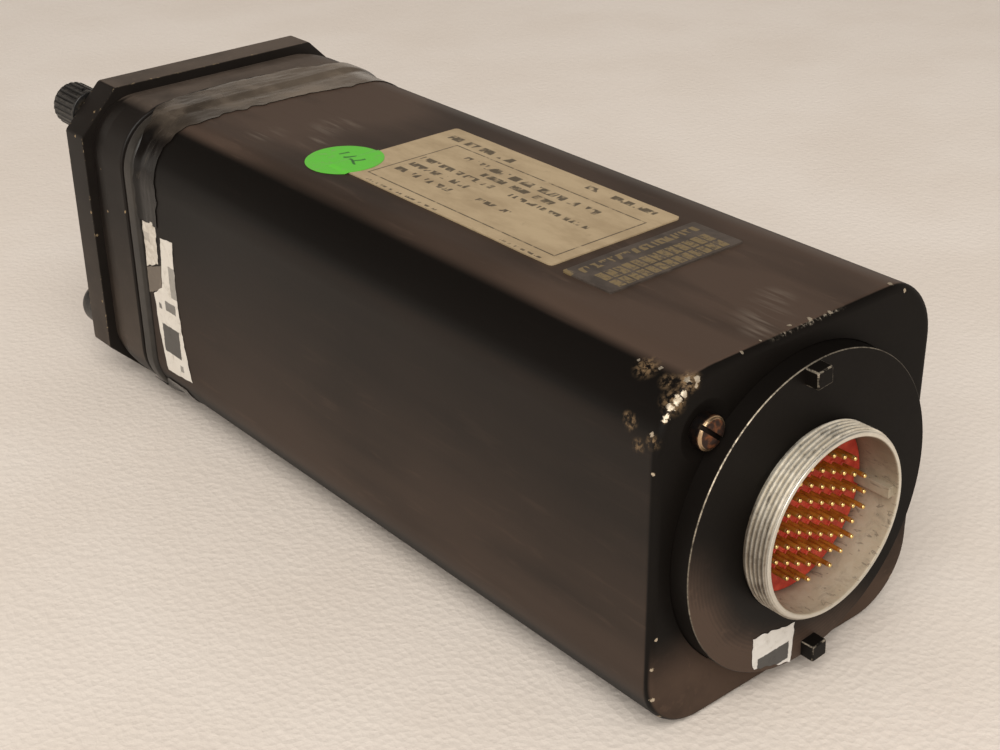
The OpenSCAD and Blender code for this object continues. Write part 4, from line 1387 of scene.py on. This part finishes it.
@dataclass
class ControlKnobs:
    """Ribbed knob at one lower corner of the dial and smooth knob at the other."""

    ribbed_at: Point = (33.3, 33.3)
    ribbed_r: float = 6
    ribbed_y: tuple[float, float] = (-21.65, -10.15)
    ribs: int = 24
    smooth_at: Point = (33.3, -26.6)
    smooth_r: float = 6.2
    smooth_y: tuple[float, float] = (-23.15, -10.15)
    dome_r: float = 3.8
    bore_r: float = 1.52
    screw_r: float = 0.92

    def bored(self, knob: Piece, at: Point, depth_y: float, back: float, side: int) -> Piece:
        """Bores a knob for its shaft and set screw.

        Args:
            knob: the knob.
            at: x and z of its axis.
            depth_y: where the shaft's bore ends.
            back: y of its back.
            side: +1 where the set screw points up, -1 where it points down.

        Returns:
            The knob.
        """
        bore = Piece.rod("bore", self.bore_r, (depth_y, back + 1), at, 24)
        knob.joined(bore, Joining.TAKE_AWAY)
        hole = Piece.begin("hole", bpy.ops.mesh.primitive_cylinder_add,
                           (at[0], back - 3, at[1] + side * 4.5), radius=self.screw_r * MM,
                           depth=8 * MM, vertices=24)
        return knob.joined(hole, Joining.TAKE_AWAY).eased_edges(0.12, 2).smooth(32)

    def build_ribbed(self) -> Piece:
        """Builds the ribbed knob, with round grooves between its ribs."""
        front, back = self.ribbed_y
        r, (x, z) = self.ribbed_r, self.ribbed_at
        knob = Piece.turned("ribbed_knob", eased([
            (0, front + 0.35), (3.2, front + 0.35), (3.6, front), (r, front, 0.8), (r, back, 0.3),
            (0, back)]), self.ribbed_at, 120)
        middle, half = Vector((x, 0, z)), math.pi / self.ribs
        first = (x + (r + 0.3) * math.cos(half), z + (r + 0.3) * math.sin(half))
        cut = [(0, front - 1), (0.62, front - 1), (0.62, back - 1), (0.3, back - 0.6),
               (0, back - 0.6)]
        groove = Piece.turned("groove", cut, first, 14)
        turns = [turn_y(360 * i / self.ribs) for i in range(1, self.ribs)]
        groove.repeated([lambda at, t=t: t @ (at - middle) + middle for t in turns])
        knob.joined(groove, Joining.TAKE_AWAY)
        return self.bored(knob, self.ribbed_at, front + 2.5, back, 1)

    def build_smooth(self) -> Piece:
        """Builds the smooth knob with its domed front."""
        front, back = self.smooth_y
        knob = Piece.turned("smooth_knob", eased([
            (0, front), (self.smooth_r, front, self.dome_r), (self.smooth_r, back, 0.4),
            (0, back)], 10), self.smooth_at, 64)
        return self.bored(knob, self.smooth_at, front + 3.5, back, -1)

    def build(self) -> None:
        """Builds and dresses both knobs."""
        self.build_ribbed().dress(Knob("ribbed_plastic", self.ribbed_r, self.ribbed_at),
                                  "heading_control", "knob_plastic", "heading_knob")
        self.build_smooth().dress(Knob("smooth_plastic", self.smooth_r, self.smooth_at),
                                  "sync_control", "knob_plastic", "sync_knob")


@dataclass
class TopPlates:
    """The two thin plates on the top side and the green dot over one's corner."""

    top: float = 40.325
    thickness: float = 0.4
    name_x: tuple[float, float] = (-19.3, 18.7)
    name_y: tuple[float, float] = (82, 160)
    record_x: tuple[float, float] = (-19.6, 18.9)
    record_y: tuple[float, float] = (163.5, 178)
    dot_at: Point = (14.3, 81)
    dot_r: float = 9.5
    rows: tuple[Point, ...] = (
        (-14.2, 1.2, 86, 110, 2.4), (-16.4, 1, 133, 155, 2), (-7.3, 1.2, 100, 147, 2.2),
        (-3.6, 1, 111, 137, 1.9), (0, 1, 93, 119, 1.9), (0, 0.8, 125, 151, 1.6),
        (4.2, 1, 94, 115, 1.9), (8.4, 1, 94, 114, 1.9), (7, 0.8, 122, 133, 1.4),
        (18, 0.35, 95, 121, 1), (18, 0.35, 143, 156, 1))

    def build_plate(self, name: str, x: Point, y: Point) -> Piece:
        """Builds a thin plate with round corners and edges that aren't quite straight."""
        middle = ((x[0] + x[1]) / 2, (y[0] + y[1]) / 2, self.top)
        plate = Piece.sheet(name, 12, 24, lambda u, v: (spread(*x, u), spread(*y, v), self.top))
        plate.choose(Element.POINT, lambda at, way: abs(abs(at.x - middle[0]) - (x[1] - x[0]) / 2)
                     + abs(abs(at.y - middle[1]) - (y[1] - y[0]) / 2) < 0.01)
        plate.rounded(1.2, 4, points=True)
        bpy.ops.mesh.select_all(action="SELECT")
        plate.push((0, 0, self.thickness)).cleaned()
        plate.choose(Element.EDGE, lambda at, way: at.z > self.top + 0.3 and (
            abs(at.x - middle[0]) > (x[1] - x[0]) / 2 - 0.01
            or abs(at.y - middle[1]) > (y[1] - y[0]) / 2 - 0.01))
        plate.rounded(0.12, 2).cleaned()

        def waver(at: Vector) -> Vector:
            """Lets the edges wander a little in the plane."""
            shift = noise.noise_vector(Vector((at.x, at.y, 3)) * 0.09) * 0.12
            return at + Vector((shift.x, shift.y, 0))

        return plate.reshaped(waver).smooth(30)

    def build_dot(self) -> Piece:
        """Builds the round sticker, draped over the nameplate's corner."""
        def lay(across: float, round_it: float) -> Point:
            """Puts a point of the grid on the round sheet."""
            reach, angle = across * self.dot_r, round_it * math.tau
            wobble = 1 + 0.006 * math.sin(3 * angle + 1)
            x = self.dot_at[0] + reach * math.cos(angle) * wobble
            y = self.dot_at[1] + reach * math.sin(angle) * wobble
            over = min(max((y - self.name_y[0] + 0.9) / 0.9, 0), 1) * min(
                max((self.name_x[1] + 0.9 - x) / 0.9, 0), 1)
            crease = 0.03 * noise.noise(Vector((x, y, 0)) * 0.35)
            return x, y, self.top + 0.05 + self.thickness * eased_share(over) + crease

        dot = Piece.sheet("green_dot", 22, 72, lay).cleaned().facing(lambda at: UP)
        return dot.thickened(0.08).smooth(40)

    def build(self) -> None:
        """Builds and dresses the plates and the dot."""
        foil = Foil("nameplate_foil", rows=self.rows)
        self.build_plate("name_plate", self.name_x, self.name_y).dress(
            foil, "housing", "plate_foil", "nameplate")
        self.build_plate("data_plate", self.record_x, self.record_y).dress(
            CellPlate("data_foil"), "housing", "plate_dark", "record_plate")
        strokes = ((10.5, 77.5, 13, 77.2, 0.6), (13.2, 79.2, 10.8, 81, 0.6),
                   (14.2, 84.2, 11, 84.8, 0.6), (13.8, 82.2, 14.3, 86.2, 0.5))
        green = Paper("green_paper", "5cbc36", "27542a", plane="xy", strokes=strokes, shine=0.42)
        self.build_dot().dress(green, "housing", "plate_foil")


@dataclass
class SideLabels:
    """Worn paper labels without print on the left side and on the boss."""

    side: float = 40.325
    boss_y: float = 217.35

    def label(self, name: str, left: Sequence[Point], right: Sequence[Point], normal: Point,
              lift: float, torn: float) -> Piece:
        """Lays a label on a face, and round the case's corner where it reaches that far.

        Args:
            name: name of the piece.
            left: points down its left edge.
            right: points down its right edge.
            normal: the way it faces.
            lift: height of its creases.
            torn: how far its edges wander.

        Returns:
            The label.
        """
        out = Vector(normal)
        bend, reach = Case.corner, Case.half - Case.corner

        def along(edge: Sequence[Point], share: float) -> Vector:
            """Gives the place at a share of the way down an edge."""
            span = min(int(share * (len(edge) - 1)), len(edge) - 2)
            return Vector(edge[span]).lerp(Vector(edge[span + 1]), share * (len(edge) - 1) - span)

        def lay(u: float, v: float) -> Point:
            """Puts a point of the grid on the face."""
            at = along(left, v).lerp(along(right, v), u)
            border = 1 - min(u, 1 - u, v, 1 - v) * 6
            drift = noise.noise_vector(at * 0.55) * torn * max(border, 0)
            crease = abs(noise.noise(at * 0.45)) * lift
            past = max(abs(at.z) - bend, 0) if out.x else 0
            round_it = reach - math.sqrt(reach * reach - past * past)
            flat = drift - out * drift.dot(out)
            return at + flat + out * (0.04 + crease - round_it)

        sheet = Piece.sheet(name, 24, 48, lay).cleaned().facing(lambda at: out)
        return sheet.thickened(0.07).smooth(40, weighted=False)

    def build(self) -> None:
        """Builds and dresses the labels."""
        x = self.side
        white = self.label("crumpled_label", [(x, 25.2, 15.2), (x, 24.8, 2)],
                           [(x, 31.8, 16.2), (x, 31, 4.3)], (1, 0, 0), 0.35, 0.4)
        white.dress(Paper("crumpled_paper", "cfc6b8", blocks=((25, 28, 9.5, 12, 0.25),)),
                    "housing", "plate_foil")
        grey = self.label("grey_patch", [(x, 24.6, 1.6), (x, 24.4, -6)],
                          [(x, 32.3, 4.2), (x, 31.2, -2.7)], (1, 0, 0), 0.08, 0.2)
        grey.dress(Paper("grey_paper", "6a6055", "4a433b"), "housing", "plate_foil")
        left = ((33.6, 12.5), (32.7, 4.6), (31.5, -2.2), (26.9, -5.4), (27.5, -12), (27.9, -17.5),
                (29.7, -27.1))
        right = ((39.6, 13.1), (39, 6), (38.9, 0), (38.9, -4.5), (39.6, -12), (40.4, -18),
                 (42.2, -26.4))
        strip = self.label("long_label", [(x, *at) for at in left], [(x, *at) for at in right],
                           (1, 0, 0), 0.2, 0.3)
        blocks = ((29.6, 38, -21.2, -13, 0.9), (31.8, 35.2, -18.8, -15.4, 0.0),
                  (36, 39, -3.6, 5.4, 0.55), (32.4, 37.6, -8.4, -5.6, 0.75),
                  (29, 30.4, -8.8, -7.2, 0.8), (36.8, 38.4, -24.8, -23, 0.6))
        strip.dress(Paper("long_paper", "ddd6ca", blocks=blocks), "housing", "plate_foil")
        y = self.boss_y
        rear = self.label("boss_label", [(15.7, y, -23), (14.6, y, -31.4)],
                          [(2.7, y, -25.3), (3.2, y, -34.9)], (0, 1, 0), 0.2, 0.5)
        rear.dress(Paper("boss_paper", "d3cec6", blocks=((4.1, 13.6, -33.6, -29.2, 0.92),),
                         plane="xz"), "housing", "plate_foil")


@dataclass
class TapeWrap:
    """Black tape over the joint of bezel and case, torn at its edges, from the left side on."""

    start: float = -34.5
    end: float = 216
    front_line: tuple[Point, ...] = ((-34.5, 24.3), (-15, 24), (-9, 22.5), (-3, 17.5), (5, 15.2),
                                     (22, 13.9), (37.5, 14.9), (52, 18.2), (70, 17), (110, 16),
                                     (150, 17), (190, 16), (260, 17))
    rear_line: tuple[Point, ...] = ((-34.5, 32.6), (-25, 33.8), (-16, 33), (-8, 33.2), (-1, 34.6),
                                    (8, 33.1), (26, 33.7), (49, 36.6), (75, 37.5), (110, 36),
                                    (150, 38), (190, 36), (260, 37))
    over_bead: float = 41.13
    on_case: float = 40.45

    def height_at(self, path: Sequence[Point], s: float) -> float:
        """Reads an edge's y at a distance along the wrap."""
        for (s0, y0), (s1, y1) in zip(path, path[1:]):
            if s <= s1:
                return spread(y0, y1, eased_share((s - s0) / (s1 - s0)))
        return path[-1][1]

    def lay(self, u: float, v: float) -> Point:
        """Puts a point of the grid on the wrap.

        Args:
            u: share of the way round, from the left side over the top.
            v: share of the way from the front edge to the rear edge.

        Returns:
            The place.
        """
        s = spread(self.start, self.end, u)
        ragged = noise.noise(Vector((s * 0.35, 5, v))) * 1.1
        y = spread(self.height_at(self.front_line, s) + ragged * 0.6 * (1 - v),
                   self.height_at(self.rear_line, s) + ragged * v, v)
        down = eased_share((y - 23.2) / 3.4)
        half = spread(self.over_bead, self.on_case, down)
        half += 0.12 * abs(noise.noise(Vector((s * 0.06, y * 0.4, 2)))) * (1 - v)
        half += 0.05 * abs(noise.noise(Vector((s * 0.5, y * 0.5, 7))))
        corner = spread(Bezel.corner, Case.corner, down)
        radius = half - corner
        side, turn = 2 * corner, radius * QUARTER
        i, rest = divmod(s, side + turn)
        if rest <= side:
            flat = Vector((corner - rest, y, half))
        else:
            angle = (rest - side) / radius
            flat = Vector((-corner - radius * math.sin(angle), y,
                           corner + radius * math.cos(angle)))
        return turn_y(-90 * i) @ flat

    def build(self) -> None:
        """Builds and dresses the tape."""
        tape = Piece.sheet("black_tape", 300, 36, self.lay)
        tape.facing(lambda at: Vector((at.x, 0, at.z)))
        tape.thickened(0.1).smooth(50, weighted=False)
        tape.dress(GlossTape("black_tape_gloss"), "housing", "rubber")


@dataclass
class Dial:
    """Numbers and ticks on the card, read with twelve o'clock towards -X."""

    face_y: float = 3.0
    card_r: float = 28
    number_r: float = 20.3
    number_size: float = 6.2
    letter_size: float = 7.4
    relief: float = 0.06
    words: tuple[str, ...] = ("N", "3", "6", "E", "12", "15", "S", "21", "24", "W", "30", "33")

    def build_word(self, word: str, bearing: float) -> Piece:
        """Builds one number or letter, upright towards the rim.

        Args:
            word: what it says.
            bearing: its place on the card in degrees.

        Returns:
            The raised figure.
        """
        deselect()
        bpy.ops.object.text_add()
        text = bpy.context.active_object
        text.data.body = word
        text.data.align_x = "CENTER"
        text.data.align_y = "CENTER"
        text.data.size = (self.letter_size if word.isalpha() else self.number_size) * MM
        text.data.extrude = self.relief / 2 * MM
        text.data.offset = 0.12 * MM
        bpy.ops.object.convert(target="MESH")
        figure = Piece("figure", bpy.context.active_object)
        turn = turn_y(bearing)
        return figure.reshaped(lambda at: turn @ Vector((
            -self.number_r - at.y, self.face_y - self.relief / 2 - at.z, at.x)))

    def build_ticks(self) -> Piece:
        """Builds a long tick every ten degrees and a short one between them."""
        y0, y1 = self.face_y - self.relief, self.face_y + 0.02
        ticks = []
        for name, length, half, first in (("long_tick", 4, 0.26, 0), ("short_tick", 2.6, 0.16, 5)):
            tick = Piece.slab(name, (-self.card_r + 0.5, y0, -half),
                              (-self.card_r + length, y1, half)).eased_edges(0.05, 1)
            tick.reshaped(lambda at, t=turn_y(first): t @ at)
            ticks.append(tick.repeated([lambda at, t=turn_y(10 * i): t @ at
                                        for i in range(1, 36)]))
        return ticks[0].gathered(ticks[1:])

    def build(self) -> None:
        """Builds and dresses the figures."""
        figures = [self.build_word(word, 30 * i) for i, word in enumerate(self.words)]
        marks = self.build_ticks().gathered(figures)
        marks.name = marks.obj.name = marks.obj.data.name = "card_marks"
        marks.smooth(30, weighted=False)
        white = Plain("dial_white", "e6e2d6", "d6d0c0", 0.6, 3)
        marks.dress(white, "card", "card_face")


@dataclass(frozen=True)
class MaskPaint(Finish):
    """Matt black of the dial's fixed ring, with a white lubber line."""

    def mix_in(self, r: Recipe) -> None:
        """Adds the ring's nodes."""
        line = r.x.step(-24.9, -25.3) * r.x.step(-29.6, -29.3) * abs(r.z).step(1.5, 1.4)
        grain = r.grain(0.4, 2)
        r.surface(Base_Color=r.mix(line, r.mix(r.grain(6, 3), "131312", "201f1d"), "e4dfd2"),
                  Roughness=0.62 + grain * 0.1, Normal=r.relief(grain, 0.01))


@dataclass
class Insides:
    """Finishes of the nodes that keep their shape."""

    def finishes(self) -> dict[Finish, tuple[str, ...]]:
        """Which finish each kept node has."""
        return {
            Plain("gasket_rubber", "131312", "1d1c1a", 0.6): ("window_gasket",),
            Glass("window_clear"): ("window_glass",),
            Plain("ring_black", "121211", "1d1b19", 0.5): ("window_ring",),
            MaskPaint("mask_black"): ("dial_mask",),
            Plain("card_black", "141414", "1c1c1b", 0.62, 4, 0.015, 0.3): ("compass_card",),
            Plain("index_paint", "d9691f", "c75d1a", 0.5, 4): ("heading_index",),
            Plain("flag_paint", "e8e4d8", "dcd6c6", 0.5, 3): ("annunciator_flag",),
            Plain("lamp_lens", "ede5cc", "d8cba8", 0.25, 2, coat=0.5): ("dial_lamps",),
            Metal("plate_alloy", "b6b3aa", "9c988d", stained=0.1, rough=0.34,
                  lines=(1, 1, 0.03)): ("front_plate", "middle_plate", "rear_bulkhead"),
            Metal("post_steel", "b9b6ad", "9a968c", stained=0.15, rough=0.28, lines=(1, 0.2, 1)): (
                "front_posts", "middle_posts", "rear_posts", "synchro_clamps", "sum_arbor"),
            Metal("shaft_steel", "c3c0b8", "a6a29a", stained=0.05, rough=0.2, lines=(1, 6, 1),
                  line_size=1.2): (
                "card_shaft", "heading_shaft", "sync_shaft", "card_bearings", "synchro_rotor",
                "shaft_coupling", "motor_pinion", "heading_set_screw", "sync_set_screw"),
            Metal("gear_brass", "c9a251", "b08a3e", "5c421c", 0.15, 0.28, (1, 4, 1), 0.8): (
                "card_gear", "index_gear", "sum_input_gear", "sum_output_pinion", "sum_drum",
                "reduction_gear", "reduction_bushing", "heading_bushing", "sync_bushing"),
            Metal("can_alloy", "8f8c85", "76726a", stained=0.25, rough=0.38, lines=(1, 0.1, 1)): (
                "servo_motor", "follow_up_synchro"),
            Metal("capacitor_can", "a8a59c", "8d897f", stained=0.1, rough=0.3): (
                "board_capacitors",),
            Metal("core_steel", "4a4744", "35322f", stained=0.4, rough=0.5, lines=(1, 0.05, 1),
                  line_size=0.5): ("power_transformer",),
            Plain("phenolic_brown", "5b3b22", "6f4b2d", 0.4, 3): (
                "sync_switch", "annunciator_coil"),
            Plain("wire_lacing", "8f8673", "6f6757", 0.6, 1.2, 0.1, 0.9): ("rear_wiring",),
            BoardGreen("board_green"): ("amplifier_board", "power_board"),
        }

    def dress(self) -> None:
        """Puts every kept node's finish on it."""
        for finish, nodes in self.finishes().items():
            for node in nodes:
                mesh = frame["nodes"][node].data
                mesh.materials.clear()
                mesh.materials.append(finish.material())
                LOG.info("%s in %s", node, finish.name)


@dataclass(frozen=True)
class BoardGreen(Finish):
    """Circuit board: green lacquer with tracks, and pale parts that stand on it."""

    board_x: float = 24
    board_t: float = 1.6

    def mix_in(self, r: Recipe) -> None:
        """Adds the board's nodes."""
        half = self.board_t / 2
        sheet = abs(abs(r.x) - self.board_x - half).step(half + 0.15, half + 0.02)
        tracks = r.cells(3.2, (0.2, 1, 1), edges=True).step(0.09, 0.05)
        lacquer = r.mix(tracks * 0.6, "37512b", "6f8043")
        parts = r.mix(r.grain(3, 3), "8d7b55", "b2a37f")
        r.surface(Base_Color=r.mix(sheet, parts, lacquer), Roughness=0.35 + r.grain(2, 3) * 0.2,
                  Normal=r.relief(tracks, 0.04))


@dataclass
class Room:
    """Floor, light and camera. The lamp's place and size are in metres."""

    floor_front: float = -42.3
    floor_rear: float = -40.325
    rear_y: float = 210.85
    camera_at: Point = (227.316, 394.107, 180.769)
    right: Point = (-0.76146, 0.64813, -0.01035)
    up: Point = (-0.30962, -0.34964, 0.88424)
    forward: Point = (-0.56948, -0.67652, -0.46692)
    focal_px: float = 1671.66
    centre_px: float = 509.17
    width_px: float = 1000
    sensor: float = 36
    lamp_at: Point = (1, 1.15, 1.35)
    lamp_size: float = 1.7
    lamp_watts: float = 43
    ambient: Colour = (0.46, 0.44, 0.425, 1)
    sky: tuple[tuple[float, str], ...] = (
        (0.0, "e0d6ca"), (0.2, "e0d6ca"), (0.3, "9a8f85"), (0.42, "5a5149"), (0.6, "332d29"))

    def build_floor(self) -> None:
        """Lays the floor, which meets the flange and the case's rear edge."""
        slope = (self.floor_rear - self.floor_front) / self.rear_y

        def lay(u: float, v: float) -> Point:
            """Puts a point of the grid on the floor."""
            y = spread(-3000, 3200, v)
            return spread(-3000, 3000, u), y, self.floor_front + slope * y - 0.02

        floor = Piece.sheet("floor", 24, 24, lay).facing(lambda at: UP)
        floor.obj.data.materials.append(Floor("floor_foam").material())

    def build_lights(self) -> None:
        """Hangs one large soft lamp and sets a pale room round it."""
        bpy.ops.object.light_add(type="AREA", location=self.lamp_at)
        lamp = bpy.context.active_object
        lamp.name = "soft_lamp"
        lamp.data.shape = "RECTANGLE"
        lamp.data.size = lamp.data.size_y = self.lamp_size
        lamp.data.energy = self.lamp_watts
        lamp.data.color = (1, 0.98, 0.95)
        lamp.rotation_euler = Vector(self.lamp_at).to_track_quat("Z", "Y").to_euler()
        world = bpy.data.worlds.new("room")
        bpy.context.scene.world = world
        world.use_nodes = True
        nodes = Nodes(world.node_tree)
        place = nodes.node("ShaderNodeTexCoord", {}, {}).outputs["Generated"]
        height = nodes.parts(place)[2]
        ramp = nodes.node("ShaderNodeValToRGB", {"stops": self.sky}, {0: height})
        rays = nodes.node("ShaderNodeLightPath", {}, {}).outputs
        camera, glossy, through = (Value(nodes, rays[f"Is {kind} Ray"])
                                   for kind in ("Camera", "Glossy", "Transmission"))
        colour = nodes.mix(camera.high(glossy).high(through), self.ambient, ramp.outputs[0])
        background = world.node_tree.nodes["Background"]
        nodes.plug(background.inputs["Color"], colour)
        nodes.plug(background.inputs["Strength"], 1)
        bpy.context.scene.view_settings.view_transform = "Standard"

    def build_camera(self) -> None:
        """Sets the camera up where the photograph was taken from."""
        lens = bpy.data.cameras.new("camera")
        camera = bpy.data.objects.new("camera", lens)
        bpy.context.scene.collection.objects.link(camera)
        lens.sensor_width = self.sensor
        lens.lens = self.focal_px * self.sensor / self.width_px
        lens.shift_x = (self.width_px / 2 - self.centre_px) / self.width_px
        lens.clip_start, lens.clip_end = 0.01, 20
        turn = Matrix((self.right, self.up, -Vector(self.forward))).transposed()
        camera.matrix_world = Matrix.Translation(metres(self.camera_at)) @ turn.to_4x4()
        bpy.context.scene.camera = camera

    def build(self) -> None:
        """Builds the floor, the light and the camera."""
        self.build_camera()
        self.build_floor()
        self.build_lights()


def main() -> None:
    """Builds everything in order."""
    logging.basicConfig(level=logging.INFO, format="%(name)s: %(message)s")
    noise.seed_set(SEED)
    Room().build()
    Insides().dress()
    for part in (Case(), Bezel(), RearBoss(), Connector(), ControlKnobs(), TopPlates(),
                 SideLabels(), TapeWrap(), Dial()):
        part.build()
    deselect()


if __name__ == "__main__":
    main()
